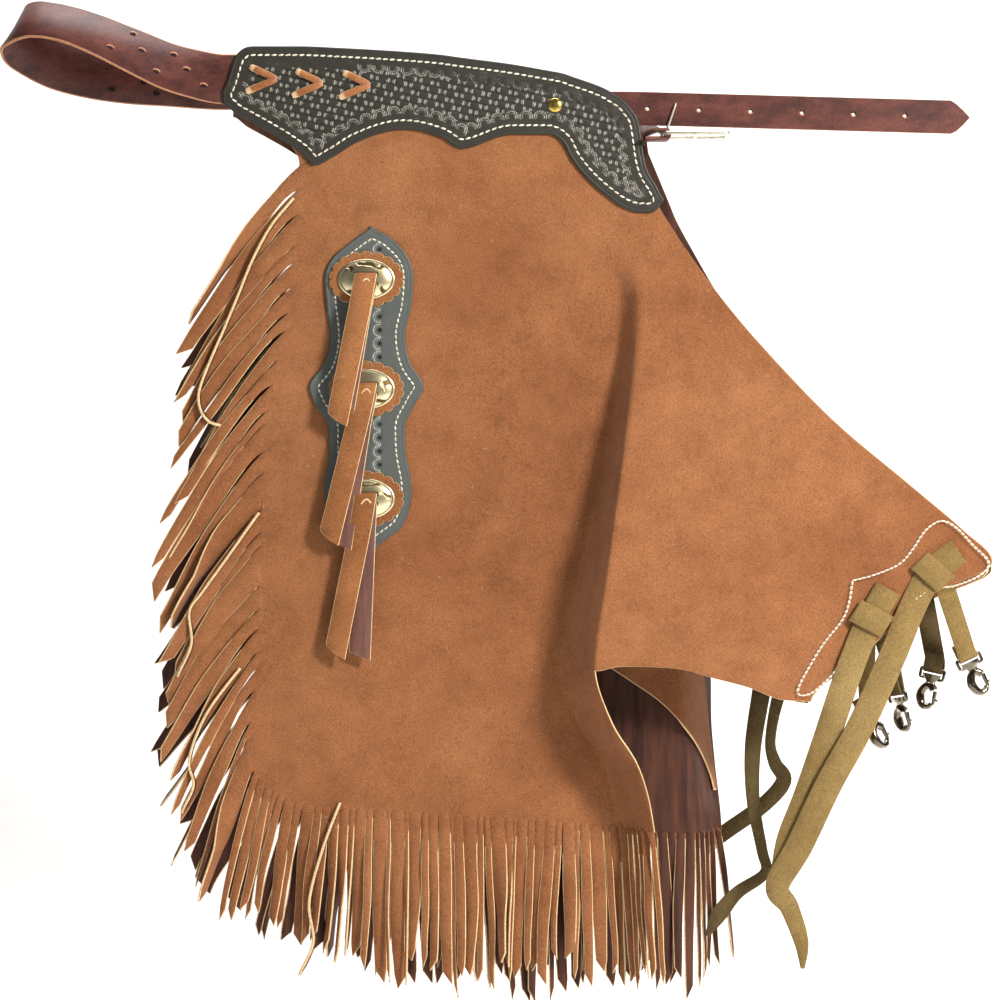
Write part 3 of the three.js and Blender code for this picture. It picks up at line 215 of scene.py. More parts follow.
def platedMetal(name, color, tarnish, roughness, middle="#FFFFFF", scratch=0.0006):
    # buffed plate: bright, with hairline scratches and a little tarnish in its hollows; darker where it faces the
    # viewer, a painted reflection
    material, add, place = newLook(name)
    haze = add("TexNoise", {"Vector": place, "Scale": 1 / 0.007, "Detail": 4, "Roughness": 0.7})
    line = add("TexNoise", {"Vector": place, "Scale": 1 / scratch, "Detail": 2})
    tone = add("ValToRGB", {"Fac": haze}, stops=[(0.28, tarnish), (0.5, color)])
    # painted reflection: the colour darkens towards middle where the surface faces the viewer, standing in for dark
    # surroundings mirrored in the metal
    facing = add("LayerWeight", {"Blend": 0.35}, out="Facing")
    shade = add("ValToRGB", {"Fac": facing}, stops=[(0.1, middle), (0.5, "#FFFFFF")])
    tone = add("Mix", {0: 1.0, 6: tone, 7: shade}, out=2, data_type="RGBA", blend_type="MULTIPLY")
    rough = add("MapRange", {"Value": haze, "From Min": 0.3, "From Max": 0.7,
                             "To Min": roughness * 1.5, "To Max": roughness * 0.8})
    normal = add("Bump", {"Height": line, "Distance": 0.0001, "Strength": 0.15})
    finishLook(add, Base_Color=tone, Normal=normal, Roughness=rough, Metallic=1.0)
    return material


def engravedSilver(name, color, groove):
    # nickel silver with leaf scrolls engraved in its rim, the cuts darkened and the middle polished
    material, add, place = newLook(name)
    scroll = add("TexWave", {"Vector": place, "Scale": 1 / 0.05, "Distortion": 9.0, "Detail": 2.0,
                             "Detail Scale": 2.2}, out="Fac", wave_type="RINGS", rings_direction="SPHERICAL")
    rim = add("Attribute", out="Fac", attribute_name="edge")
    cut = add("MapRange", {"Value": scroll, "From Min": 0.35, "From Max": 0.12})
    cut = add("Math", {0: cut, 1: rim}, operation="MULTIPLY")
    tone = add("Mix", {0: cut, 6: toLinear(color), 7: toLinear(groove)}, out=2, data_type="RGBA")
    normal = add("Bump", {"Height": cut, "Distance": 0.0006, "Strength": 0.7}, invert=True)
    rough = add("MapRange", {"Value": cut, "To Min": 0.3, "To Max": 0.5})
    finishLook(add, Base_Color=tone, Normal=normal, Roughness=rough, Metallic=1.0)
    return material


suedeLook = splitSuede("split suede, brushed", "#97603D", "#A97049", "#B37A52")
rosetteLook = splitSuede("rosette suede, brushed", "#8A5630", "#AA7146", "#BA8052")
strapLook = splitSuede("oak-tanned strap, rubbed", "#876E42", "#9E8452", "#B09764", "#CDB88A", 0.0)
# painted shade: a darker copy of the strap leather for the far leg's straps, which hang in shade
shadedFarStrapLook = splitSuede("oak-tanned strap, painted_shade", "#54472F", "#6C5C3C", "#80704C", "#A08C5E", 0.0)
grainLook = smoothGrain("dyed grain, smooth", "#38201A", "#5E3A2C", 0.6)
stringGrainLook = smoothGrain("string grain, smooth", "#60403A", "#80584C")
fleshLook = smoothGrain("undyed flesh side", "#5A4030", "#7C5A44", 0.9)
edgeLook = cutHide("hide cut edge", "#C2925C", "#F2DAAE")
tanEdgeLook = cutHide("latigo cut edge, burnished", "#A0684A", "#C99470")
# the last colour of each stamped look is its painted highlight, the pale grey on the highest relief
tooledLook = stampedLeather("stamped leather, dyed black", "#060505", "#2F2D27", "#A8A59A")
plateLook = stampedLeather("stamped plate leather, dyed black", "#08090A", "#565B58", "#B4B8B0")
latigoLook = oiledLatigo("oiled latigo, oxblood", "#44201C", "#6C3A30", "#A87456", 0.46)
laceLook = oiledLatigo("oiled latigo lace", "#8E5430", "#B37748", "#E2BF94", 0.5)
threadLook = waxedThread("waxed linen thread", "#CFC7AE", "#F4EFDF")
brassLook = platedMetal("brass, buffed", "#E3C76A", "#B0924A", 0.22)
# the fourth colour of the nickel looks darkens them where they face the viewer: a painted reflection
nickelLook = platedMetal("nickel plate, buffed", "#F0EBE0", "#A8A296", 0.16, "#7A746A")
buckleLook = platedMetal("nickel plate, satin", "#F4F1EA", "#B8B4AA", 0.36, "#D8D4CC")
conchoLook = engravedSilver("nickel silver, engraved", "#EBDCB2", "#5A4A2C")
# painted shade: a flat dark look that stands for the shaded inside of a punched hole
holeShadeLook, add, place = newLook("punched hole, dark inside")
finishLook(add, Base_Color=toLinear("#120A08"), Roughness=0.9)
print("materials made")


def curveThrough(stops, values):
    # a smooth curve through given values that never swings past them
    xs, ys = np.array(stops, float), np.array(values, float)
    slopes = np.diff(ys) / np.diff(xs)
    tangents = np.zeros(len(xs))
    steady = slopes[:-1] * slopes[1:] > 0
    tangents[1:-1] = np.where(steady, (slopes[:-1] + slopes[1:]) / 2, 0)

    def read(at):
        at = np.clip(np.asarray(at, float), xs[0], xs[-1])
        i = np.clip(np.searchsorted(xs, at, side="right") - 1, 0, len(xs) - 2)
        span = xs[i + 1] - xs[i]
        s = (at - xs[i]) / span
        return (ys[i] * (2 * s ** 3 - 3 * s ** 2 + 1) + tangents[i] * span * (s ** 3 - 2 * s ** 2 + s)
                + ys[i + 1] * (3 * s ** 2 - 2 * s ** 3) + tangents[i + 1] * span * (s ** 3 - s ** 2))
    return read


def columnsOf(names, rows, smooth=True):
    # a table with named columns as one curve for each column, read by the first column
    stops = [row[0] for row in rows]
    curves = {}
    for k, name in enumerate(names[1:], 1):
        values = [row[k] for row in rows]
        if smooth:
            curves[name] = curveThrough(stops, values)
        else:
            curves[name] = lambda at, v=values: np.interp(at, stops, v)
    return curves


leg = {
    "width": 0.717, "drop": 0.731, "wall": 2.2 * mm, "space": 25 * mm, "crestRise": 66 * mm,
    "wingRun": 0.440, "farShift": (7.6 * mm, 0, -8.5 * mm), "crestRound": 5 * mm,
}
gap = 0.35 * mm  # the air between two pieces that lie on each other
sunk = 0.1 * mm  # how far a stitch lies in its leather
panelOut = leg["space"] / 2 + leg["wall"]

# the panel's sections from the yoke down, as shares of the leg's width and drop
sectionNames = ("row", "leftX", "leftZ", "crestX", "crestZ", "rimX", "rimZ", "patch")
sectionRows = [
    (0, -0.232, 0.062, 0.200, 0.090, 0.259, 0.094, 0.80),
    (1, -0.205, 0.100, 0.225, 0.120, 0.266, 0.120, 0.80),
    (2, -0.187, 0.135, 0.250, 0.175, 0.283, 0.172, 0.80),
    (3, -0.190, 0.185, 0.260, 0.215, 0.304, 0.212, 0.80),
    (4, -0.195, 0.262, 0.266, 0.315, 0.366, 0.301, 0.80),
    (5, -0.206, 0.352, 0.253, 0.400, 0.430, 0.377, 0.80),
    (6, -0.232, 0.461, 0.243, 0.495, 0.519, 0.468, 0.84),
    (7, -0.236, 0.571, 0.229, 0.600, 0.616, 0.548, 0.88),
    (8, -0.238, 0.649, 0.218, 0.675, 0.693, 0.611, 0.90),
    (9, -0.240, 0.690, 0.213, 0.714, 0.732, 0.652, 0.66),
    (10, -0.241, 0.725, 0.209, 0.743, 0.645, 0.697, 0.73),
    (11, -0.242, 0.758, 0.206, 0.770, 0.566, 0.764, 0.81),
    (12, -0.244, 0.790, 0.203, 0.790, 0.488, 0.832, 0.92),
    (13, -0.250, 0.845, 0.225, 0.857, 0.488, 0.860, 0.92),
    (14, -0.256, 0.894, 0.257, 0.908, 0.488, 0.900, 0.92),
    (15, -0.236, 0.940, 0.273, 0.952, 0.488, 0.950, 0.92),
    (16, -0.185, 0.972, 0.282, 1.000, 0.488, 1.000, 0.92),
]
sections = columnsOf(sectionNames, sectionRows)
wingEnd = 12  # the row of the wing's lower cut edge
lastRow = sectionRows[-1][0]

foldNames = ("down", "rise", "valley", "near", "far")
foldRows = [
    (0.000, 0.00, 0.110, 0.200, 0.200),
    (0.215, 0.00, 0.190, 0.250, 0.262),
    (0.310, 0.22, 0.236, 0.264, 0.290),
    (0.500, 0.62, 0.222, 0.243, 0.325),
    (0.660, 0.92, 0.185, 0.220, 0.345),
    (0.790, 1.00, 0.155, 0.203, 0.355),
    (0.860, 0.95, 0.180, 0.226, 0.356),
    (0.910, 0.85, 0.212, 0.257, 0.360),
    (1.000, 0.60, 0.235, 0.282, 0.368),
    (1.250, 0.30, 0.260, 0.310, 0.360),
]
folds = columnsOf(foldNames, foldRows)


def legOut(side, x, z):
    # how far a leg's outer face stands from the middle plane; the crest is a little rounded
    down, across = -np.asarray(z) / leg["drop"], np.asarray(x) / leg["width"]
    crest = folds[side](down)
    valley = folds["valley"](down) + crest - folds["near"](down)
    rise = leg["crestRise"] * folds["rise"](down)
    share = np.maximum((across - valley) / (crest - valley), 0)
    climb = np.where(share < 1, share ** 2 * (2.2 - 1.2 * share), 1 + 0.8 * (share - 1)) * rise
    fall = rise * (1 - (across - crest) * leg["width"] / leg["wingRun"])
    soft = leg["crestRound"] * np.clip(rise / (0.3 * leg["crestRise"]), 0.001, 1)
    mix = np.clip(0.5 + 0.5 * (fall - climb) / soft, 0, 1)
    return panelOut + fall * (1 - mix) + climb * mix - soft * mix * (1 - mix) * 0.9


def ripple(side, x, z):
    # the slight waves of a soft hide, none under the yoke and the plate
    phase = 0.7 if side == "near" else 2.1
    wave = np.sin(x * 31 + z * 9 + phase) * np.sin(z * 17 - x * 11 + phase * 2) + 0.5 * np.sin(z * 37 + x * 23)
    free = np.clip((-z - 0.15) / 0.12, 0, 1) * np.clip((np.abs(x + 0.07) - 0.045) / 0.06, 0, 1)
    return -1.1 * mm * free * (1 + wave)


def surfaceAt(side, x, z):
    # Y of a leg's outer face
    return -(legOut(side, x, z) + ripple(side, x, z))


def toWorld(side, points):
    # a leg's own points to the shared frame: the far leg is a mirrored copy, shifted a little
    points = np.array(points, float).reshape(-1, 3).copy()
    if side == "far":
        points[:, 1] *= -1
        points += np.array(leg["farShift"])
    return points


def newStore():
    # what a piece gathers before it becomes a mesh
    return {"points": [], "faces": [], "slots": [], "edge": [], "relief": [], "count": 0}


def addPart(store, points, faces, slots, edge=None, relief=None):
    # one closed part of a piece: its points, faces, and the material slot of each face
    points = np.asarray(points, float).reshape(-1, 3)
    base = store["count"]
    store["points"].append(points)
    store["faces"].extend([tuple(int(i) + base for i in face) for face in faces])
    store["slots"].extend(slots if hasattr(slots, "__len__") else [slots] * len(faces))
    store["edge"].append(np.zeros(len(points)) if edge is None else np.asarray(edge, float))
    store["relief"].append(np.ones(len(points)) if relief is None else np.asarray(relief, float))
    store["count"] += len(points)


def finishPiece(name, store, looks, side=None, sharpAngle=48, smooth=True):
    # the store as a mesh object in the shared frame, shaded smooth with sharp cut edges
    points = np.vstack(store["points"])
    faces = store["faces"]
    if side:
        points = toWorld(side, points)
        if side == "far":
            faces = [face[::-1] for face in faces]
    mesh = bpy.data.meshes.new(name)
    mesh.from_pydata(points.tolist(), [], faces)
    for look in looks:
        mesh.materials.append(look)
    mesh.polygons.foreach_set("material_index", np.array(store["slots"], np.int32))
    for key in ("edge", "relief"):
        layer = mesh.attributes.new(key, "FLOAT", "POINT")
        layer.data.foreach_set("value", np.concatenate(store[key]).astype(np.float32))
    if smooth:
        mesh.shade_smooth()
        mesh.set_sharp_from_angle(angle=math.radians(sharpAngle))
    mesh.update()
    piece = bpy.data.objects.new(name, mesh)
    bpy.context.scene.collection.objects.link(piece)
    return piece


def dress(piece, slotName, *nodes, body="root"):
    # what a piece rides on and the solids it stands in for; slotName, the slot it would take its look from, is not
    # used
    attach(piece, body)
    if nodes:
        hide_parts(*nodes)
    return piece


def gridNormals(grid):
    # the outward direction at each point of a grid
    down = np.gradient(grid, axis=0)
    across = np.gradient(grid, axis=1)
    return unit(np.cross(down, across))


def addSheet(store, grid, mask, wall, normals=None, joined=None, bevel=0.45 * mm):
    # a leather sheet from a grid of its outer face: outer, inner and cut edge in slots 0, 1 and 2.
    # joined marks the border points where the leather goes on, which get no cut edge colour
    normals = gridNormals(grid) if normals is None else normals
    rows, cols = grid.shape[:2]
    index = np.arange(rows * cols).reshape(rows, cols)
    touch = np.zeros((rows, cols), int)
    for di in (0, 1):
        for dj in (0, 1):
            touch[di:rows - 1 + di, dj:cols - 1 + dj] += mask
    border = (touch > 0) & (touch < 4)
    cut = border if joined is None else border & ~joined
    outer = grid - normals * np.where(cut, bevel, 0)[..., None]
    inner = grid - normals * (wall - np.where(cut, bevel, 0))[..., None]
    cells = np.argwhere(mask)
    i, j = cells[:, 0], cells[:, 1]
    a, b, c, d = index[i, j], index[i, j + 1], index[i + 1, j + 1], index[i + 1, j]
    n = rows * cols
    faces = np.stack([a, d, c, b], 1).tolist() + np.stack([a + n, b + n, c + n, d + n], 1).tolist()
    slots = [0] * len(cells) + [1] * len(cells)
    directed = {}
    for p, q in zip(np.concatenate([a, d, c, b]).tolist(), np.concatenate([d, c, b, a]).tolist()):
        directed[(p, q)] = True
    for p, q in directed:
        if (q, p) not in directed:
            faces.append([q, p, p + n, q + n])
            slots.append(2)
    used = sorted({v for face in faces for v in face})
    place = {v: k for k, v in enumerate(used)}
    points = np.concatenate([outer.reshape(-1, 3), inner.reshape(-1, 3)])[used]
    edge = np.concatenate([cut.reshape(-1), cut.reshape(-1)]).astype(float)[used]
    addPart(store, points, [[place[v] for v in face] for face in faces], slots, edge)


def addRibbon(store, centres, sides, widths, wall, normals=None, slots=(0, 1, 2), bevel=0.22, edge=None,
              rooted=0):
    # a flat strip with slightly rounded edges; face, back and cut edge take the three slots
    centres, sides = np.asarray(centres, float), np.asarray(sides, float)
    widths = np.broadcast_to(np.asarray(widths, float), (len(centres),))
    tangents = unit(np.gradient(centres, axis=0))
    if normals is None:
        normals = unit(np.cross(tangents, sides))
    b = wall * bevel
    ring = [(-1, 0, 0.5 - bevel), (-1, b, 0.5), (1, -b, 0.5), (1, 0, 0.5 - bevel),
            (1, 0, -0.5 + bevel), (1, -b, -0.5), (-1, b, -0.5), (-1, 0, -0.5 + bevel)]
    points = []
    for centre, side, width, normal in zip(centres, sides, widths, normals):
        for s, inset, lift in ring:
            points.append(centre + side * (s * width / 2 + inset) + normal * (lift * wall))
    faces, faceSlots = [], []
    ringSlots = [slots[2], slots[0], slots[2], slots[2], slots[2], slots[1], slots[2], slots[2]]
    for i in range(len(centres) - 1):
        for k in range(8):
            p, q = i * 8 + k, i * 8 + (k + 1) % 8
            faces.append((p, q, q + 8, p + 8))
            faceSlots.append(slots[0] if i < rooted and ringSlots[k] == slots[2] else ringSlots[k])
    end = (len(centres) - 1) * 8
    faces.append(tuple(range(7, -1, -1)))
    faces.append(tuple(range(end, end + 8)))
    faceSlots += [slots[0] if rooted else slots[2], slots[2]]
    # turn the strip out if its rings run the other way round
    turn = np.dot(np.cross(sides[0], normals[0]), tangents[0])
    if turn > 0:
        faces = [face[::-1] for face in faces]
    addPart(store, points, faces, faceSlots, edge)


def ringMarks(cut, face, rings):
    # a strip's edge marks: high along its cut edges, low on its face and back
    return np.tile([cut, face, face, cut, cut, face, face, cut], rings)


def smoothLine(points, count):
    # a smooth line through points, read at even steps
    points = np.asarray(points, float)
    steps = np.arange(len(points))
    stops = np.linspace(0, len(points) - 1, count)
    out = []
    for t in stops:
        i = min(int(t), len(points) - 2)
        s = t - i
        p0, p1 = points[max(i - 1, 0)], points[i]
        p2, p3 = points[i + 1], points[min(i + 2, len(points) - 1)]
        out.append(0.5 * (2 * p1 + (p2 - p0) * s + (2 * p0 - 5 * p1 + 4 * p2 - p3) * s ** 2
                          + (3 * p1 - p0 - 3 * p2 + p3) * s ** 3))
    return np.array(out)


fringe = {
    "length": 161 * mm, "sideStrands": 25, "hemStrands": 48, "sideShare": 0.585,
    "sway": 6 * mm, "curled": 0.24, "overlap": 1.16, "layers": 4.4 * mm, "bow": 3.5 * mm, "kink": 1.2 * mm,
    "sideDrift": 12 * mm, "hemDrift": 6.5 * mm, "sideTuck": 0.13, "hemTuck": 0.05, "farTrim": 0.94,
    "curlWidth": 7 * mm, "curlWall": 1.25, "curlSteps": 30, "curlLift": (1.6 * mm, 2.2 * mm),
    "tip": 0.93,  # the share of a strand where its pointed end starts
    "seeds": {"near": 11, "far": 47},
}
runNames = ("along", "runX", "runZ")
runRows = [
    (0.00, -0.70, 0.98), (0.08, -0.74, 0.98), (0.14, -0.72, 1.03), (0.22, -0.70, 1.06), (0.32, -0.66, 0.90),
    (0.42, -0.67, 0.82), (0.50, -0.50, 0.90), (0.56, -0.33, 0.84), (0.62, -0.14, 0.78),
    (0.70, -0.04, 0.95), (0.78, 0.00, 1.02), (0.88, 0.00, 0.92), (0.96, 0.02, 0.95), (1.00, 0.10, 0.84),
]
runs = columnsOf(runNames, runRows)


def crestShare(side, down, ownCrest):
    # where the fold's crest runs; the far leg has its own
    return folds["far"](down) if side == "far" else ownCrest


wingHem = curveThrough((0, 0.1, 0.23, 0.39, 0.55, 0.71, 0.87, 1), (0, 6.5, 10.5, 13, 9, 5, -2, 0))  # millimetres
farRim = curveThrough((0, 1, 2, 3, 4, 5, 6, 16), (0.004, 0.008, 0.013, 0.011, 0.004, 0, 0, 0))  # leg widths
flapNames = ("down", "turned")
flapRows = [
    (0.760, 0.160), (0.777, 0.142), (0.794, 0.117), (0.824, 0.073), (0.863, 0.036), (0.893, 0.018), (0.945, 0.004),
]


def panelGrid(side):
    # rows follow the listed sections, with extra ones close to the cut edges
    ring = 0.02  # rows from an edge to the first one inside it
    rowAt = np.concatenate([np.linspace(0, wingEnd - ring, 112), [wingEnd],
                            np.linspace(wingEnd + ring, lastRow - ring, 40), [lastRow]])
    bodyAt = np.concatenate([[0, 0.002, 0.006], np.linspace(0.02, 0.78, 44), np.linspace(0.79, 0.998, 36), [1]])
    wingAt = np.concatenate([np.linspace(0.004, 0.995, 64), [1]])
    down = sections["crestZ"](rowAt)
    crestX = crestShare(side, down, sections["crestX"](rowAt))
    rimX, rimZ = sections["rimX"](rowAt), sections["rimZ"](rowAt)
    if side == "far":
        rimX = rimX + farRim(rowAt)
    lerp = lambda a, b, t: a[:, None] * (1 - t[None, :]) + b[:, None] * t[None, :]
    bodyX = lerp(sections["leftX"](rowAt), crestX, bodyAt) * leg["width"]
    bodyZ = -lerp(sections["leftZ"](rowAt), down, bodyAt) * leg["drop"]
    wingX = lerp(crestX, rimX, wingAt) * leg["width"]
    wingZ = -lerp(down, rimZ, wingAt) * leg["drop"]
    wingZ += np.clip((rowAt[:, None] - 10) / 2, 0, 1) ** 1.5 * wingHem(wingAt)[None, :] * mm
    body = np.stack([bodyX, surfaceAt(side, bodyX, bodyZ), bodyZ], 2)
    wing = np.stack([wingX, surfaceAt(side, wingX, wingZ), wingZ], 2)
    mask = np.ones((len(rowAt) - 1, len(bodyAt) + len(wingAt) - 1), bool)
    mask[np.searchsorted(rowAt, wingEnd):, len(bodyAt) - 1:] = False
    return np.concatenate([body, wing], 1), mask, rowAt, bodyAt, wingAt


def flapGrid():
    # below the far wing the leather rolls back over itself, so that its suede shows
    down = np.linspace(flapRows[0][0], flapRows[-1][0], 60)
    share = np.concatenate([np.linspace(0, 0.2, 12), np.linspace(0.22, 1, 24)])
    crestX = folds["far"](down) * leg["width"]
    z = -down * leg["drop"]
    turned = columnsOf(flapNames, flapRows)["turned"](down) * leg["width"]
    x = crestX[:, None] - turned[:, None] * share[None, :]
    roll = leg["wall"] * (4.2 * np.sin(np.pi / 2 * np.clip(share / 0.18, 0, 1)) + 2 * share ** 2)
    z = np.tile(z[:, None], (1, len(share)))
    return np.stack([x, surfaceAt("far", x, z) + roll[None, :], z], 2)


def panelPiece(side):
    # the hide of one leg, and the line that its fringe starts from
    grid, mask, rowAt, bodyAt, wingAt = panelGrid(side)
    joined = np.zeros(grid.shape[:2], bool)
    joined[rowAt > 2, 0] = True
    joined[-1, :len(bodyAt)] = True
    normals = gridNormals(grid)
    store = newStore()
    addSheet(store, grid, mask, leg["wall"], normals, joined)
    if side == "far":
        flap = flapGrid()
        held = np.zeros(flap.shape[:2], bool)
        held[:, 0] = True
        addSheet(store, flap, np.ones((flap.shape[0] - 1, flap.shape[1] - 1), bool), leg["wall"], None, held)
    piece = finishPiece(side + "LegPanel", store, [suedeLook, grainLook, edgeLook], side)
    edge = np.concatenate([grid[rowAt >= 2, 0], grid[-1, 1:len(bodyAt)]])
    return dress(piece, "suede", side + "_leg_panel"), edge


curls = {  # X and Z in millimetres
    "nearSideFringe": [
        [(-139, -131), (-160, -157), (-178, -190), (-191, -222), (-206, -258), (-220, -290), (-229, -316),
         (-227, -333), (-219, -343), (-209, -347)],
        [(-172, -430), (-200, -470), (-226, -506), (-238, -524), (-236, -556), (-250, -586)],
        [(-190, -578), (-222, -622), (-238, -664), (-234, -690), (-246, -716)],
    ],
    "nearHemFringe": [[(-95, -706), (-112, -752), (-124, -800), (-120, -838), (-134, -870)]],
}


def ribbonFrame(line, level=(0, 1, 0)):
    # the directions of a strap whose face looks outward along its whole run
    ahead = unit(np.gradient(line, axis=0))
    aside = unit(np.cross(np.asarray(level, float), ahead))
    normal = np.cross(ahead, aside)
    normal *= np.where(normal[:, 1:2] > 0, -1, 1)
    return ahead, aside, normal


def fringePiece(side, edge, name, count, start, stop, node, seed):
    # strands cut into the hide: side by side at their roots, then they overlap, sway and curl apart
    dice = random.Random(seed)
    lengths = runLengths(edge)
    at = lambda share: np.array([np.interp(share * lengths[-1], lengths, edge[:, k]) for k in range(3)])
    store = newStore()
    cuts = np.linspace(start, stop, count + 1)
    cuts[1:-1] += np.array([dice.uniform(-0.34, 0.34) for _ in cuts[1:-1]]) * (stop - start) / count
    feather = "Side" in name
    place = "side" if feather else "hem"
    lift, tuck, stray = 1 if feather else -1, fringe[place + "Tuck"], fringe[place + "Drift"]
    dense = fringe["overlap"] * (fringe["overlap"] if feather else 1)
    trim = fringe["farTrim"] if side == "far" and feather else 1
    drift, tip = 0, fringe["tip"]
    for k in range(count):
        share = (cuts[k] + cuts[k + 1]) / 2
        rootA, rootB = at(cuts[k]), at(cuts[k + 1])
        middle = (rootA + rootB) / 2
        reach = fringe["length"] * dice.uniform(0.86, 1.06) * trim
        drift = 0.6 * drift + dice.uniform(-1, 1) * stray  # neighbours lean much the same way
        flow = np.array([float(runs["runX"](share)) * reach, 0, -float(runs["runZ"](share)) * reach])
        run = flow.copy()
        flow = unit(flow)
        aside = np.array([flow[2], 0, -flow[0]])
        rootSpan = rootB - rootA
        rootSpan[1] = 0
        if np.dot(rootSpan, aside) < 0:
            aside = -aside
        width = np.dot(rootSpan, aside)
        shear = rootSpan - aside * width
        run += aside * drift
        turned = dice.random() < fringe["curled"]
        twist = math.copysign(math.radians(dice.uniform(50, 84) if turned else dice.uniform(2, 30)), lift * aside[0])
        slit = dice.uniform(0.0, 0.2)  # the share of its length before the strand is free
        early = tuck * dice.uniform(0.5, 1)
        layer = ((k % 2) * 0.6 + dice.uniform(0, 0.4)) * fringe["layers"]
        sway = dice.uniform(-1, 1) * fringe["sway"]
        bow = dice.uniform(-1, 1) * fringe["bow"]
        kink = dice.uniform(-1, 1) * fringe["kink"]
        slant = dice.choice((-1, 1)) * dice.uniform(0.35, 0.8)
        centres, sides, widths = [], [], []
        steps = np.concatenate([np.linspace(-early, 0, 5), np.linspace(0.05, tip, 14), [(1 + tip) / 2, 1]])
        for hang in steps:
            buried = np.clip((hang + early) / (0.6 * early), 0, 1)
            free = max(hang - slit, 0) / (1 - slit)
            bent = math.copysign(abs(hang) ** 0.9, hang)
            point = middle + np.array([run[0] * bent, 0, run[2] * math.copysign(abs(hang) ** 1.08, hang)])
            point += aside * (bow * math.sin(math.pi * free) * free + kink * math.sin(9 * free) * free)
            back = 0.5 * leg["wall"] + layer * min(free * 3, 1) - 0.3 * mm * buried + 0.1 * mm * (1 - buried)
            wave = middle[1] + float(legOut(side, middle[0], middle[2]))
            point[1] = -float(legOut(side, point[0], middle[2])) + wave * (1 - hang) + back + sway * free ** 2
            turn = twist * min(free * 1.6, 1) ** 1.3 + lift * np.sign(aside[0]) * 0.05 * buried * feather
            across = aside * math.cos(turn) + np.array([0, 1, 0]) * math.sin(turn)
            full = np.interp(hang, [-early, 0, slit + 0.1, slit + 0.3, 0.55, tip, 1],
                             [0.4, 1, 1.06, dense, dense, 0.9, 0.1])
            lean = shear * min(max(1 - hang * 7, 0), 1)
            if hang > tip:
                point = point + across * width * slant * (hang - tip) / (1 - tip) * 0.5
            span = across * width * full + lean
            centres.append(point)
            widths.append(np.linalg.norm(span))
            sides.append(span / widths[-1])
        centres, sides = np.array(centres), np.array(sides)
        normals = unit(np.cross(np.gradient(centres, axis=0), sides))
        normals *= -1 if normals[1, 1] > 0 else 1
        for i in range(1, len(normals)):
            normals[i] *= 1 if np.dot(normals[i], normals[i - 1]) > 0 else -1
        mark = ringMarks(0.9, 0.1, len(steps))
        fade = np.repeat(np.clip((steps - slit - 0.01) * 14, 0, 1), 8)
        addRibbon(store, centres, sides, widths, leg["wall"] * 0.92, normals, (0, 1, 2), 0.3, mark * fade,
                  int(np.searchsorted(steps, slit)))
    for curl in curls.get(name, []):
        line = smoothLine(np.array([(x * mm, 0, z * mm) for x, z in curl]), fringe["curlSteps"])
        share = np.linspace(0, 1, fringe["curlSteps"])
        line[:, 1] = [surfaceAt(side, x, max(z, -leg["drop"])) for x, y, z in line]
        line[:, 1] -= fringe["curlLift"][0] + fringe["curlLift"][1] * np.sin(np.pi * share)
        ahead, across, outward = ribbonFrame(line)
        turn = np.radians(np.interp(share, [0, 0.25, 0.7, 1], [84, 84, 82, 70]))[:, None]
        across = across * np.cos(turn) + outward * np.sin(turn)
        widths = fringe["curlWidth"] * np.interp(share, [0, 0.1, 0.9, 1], [0.5, 1, 1, 0.2])
        addRibbon(store, line, across, widths, leg["wall"] * fringe["curlWall"], np.cross(ahead, across), (0, 1, 2),
                  0.25, ringMarks(0.9, 0.2, fringe["curlSteps"]))
    piece = finishPiece(name, store, [suedeLook, grainLook, edgeLook], side, 60)
    return dress(piece, "suede", node)


fringeRuns = (("side", 0.0, fringe["sideShare"]), ("hem", fringe["sideShare"], 1.0))
panels, hides = {}, {}
for side in legSides:
    panels[side], edge = panelPiece(side)
    hides[side] = [
        fringePiece(side, edge, f"{side}{run.title()}Fringe", fringe[run + "Strands"], start, stop,
                    f"{side}_{run}_fringe", fringe["seeds"][side] + k)
        for k, (run, start, stop) in enumerate(fringeRuns)
    ]
print("panels and fringe made")

yoke = {
    "width": 0.420, "height": 0.158, "left": -0.207, "top": 13.5 * mm, "wall": 3 * mm,
    "stitchInset": 8.5 * mm, "stitchPitch": 6.6 * mm, "stitch": (5.4 * mm, 1.8 * mm, 0.65 * mm),
    "toolInset": 15 * mm, "cell": 1.05 * mm, "crease": (3.2 * mm, 0.6 * mm), "press": 0.75 * mm,
    "weave": (16.5 * mm, 6.4 * mm), "tilt": 12, "shellPitch": 13.5 * mm, "shellRadius": 6.2 * mm,
}
yokeNames = ("across", "top", "bottom")
yokeRows = [
    (0.000, 0.259, 0.349), (0.030, 0.060, 0.404), (0.080, 0.000, 0.478), (0.130, 0.000, 0.555),
    (0.179, 0.000, 0.645), (0.208, 0.002, 0.717), (0.253, 0.008, 0.663), (0.305, 0.015, 0.578),
    (0.410, 0.032, 0.500), (0.495, 0.051, 0.548), (0.541, 0.068, 0.614), (0.658, 0.109, 0.530),
    (0.733, 0.144, 0.530), (0.771, 0.163, 0.584), (0.790, 0.180, 0.681), (0.885, 0.283, 0.934),
    (0.925, 0.373, 0.990), (0.945, 0.480, 1.000), (0.956, 0.680, 1.000), (0.984, 0.843, 0.985),
    (1.000, 0.915, 0.930),
]
plate = {
    "width": 0.109, "height": 0.309, "middle": -0.070, "top": -0.158, "wall": 3 * mm,
    "stitchInset": 9 * mm, "stitchPitch": 5.3 * mm, "stitch": (4.2 * mm, 1.6 * mm, 0.6 * mm), "cell": 0.95 * mm,
    "crescentPitch": 12.8 * mm, "crescentRadius": 6 * mm, "crescentAside": 12.5 * mm, "core": 2.5 * mm,
    "crease": (3.4 * mm, 0.6 * mm), "press": 0.5 * mm,
}
plateNames = ("down", "left", "right")
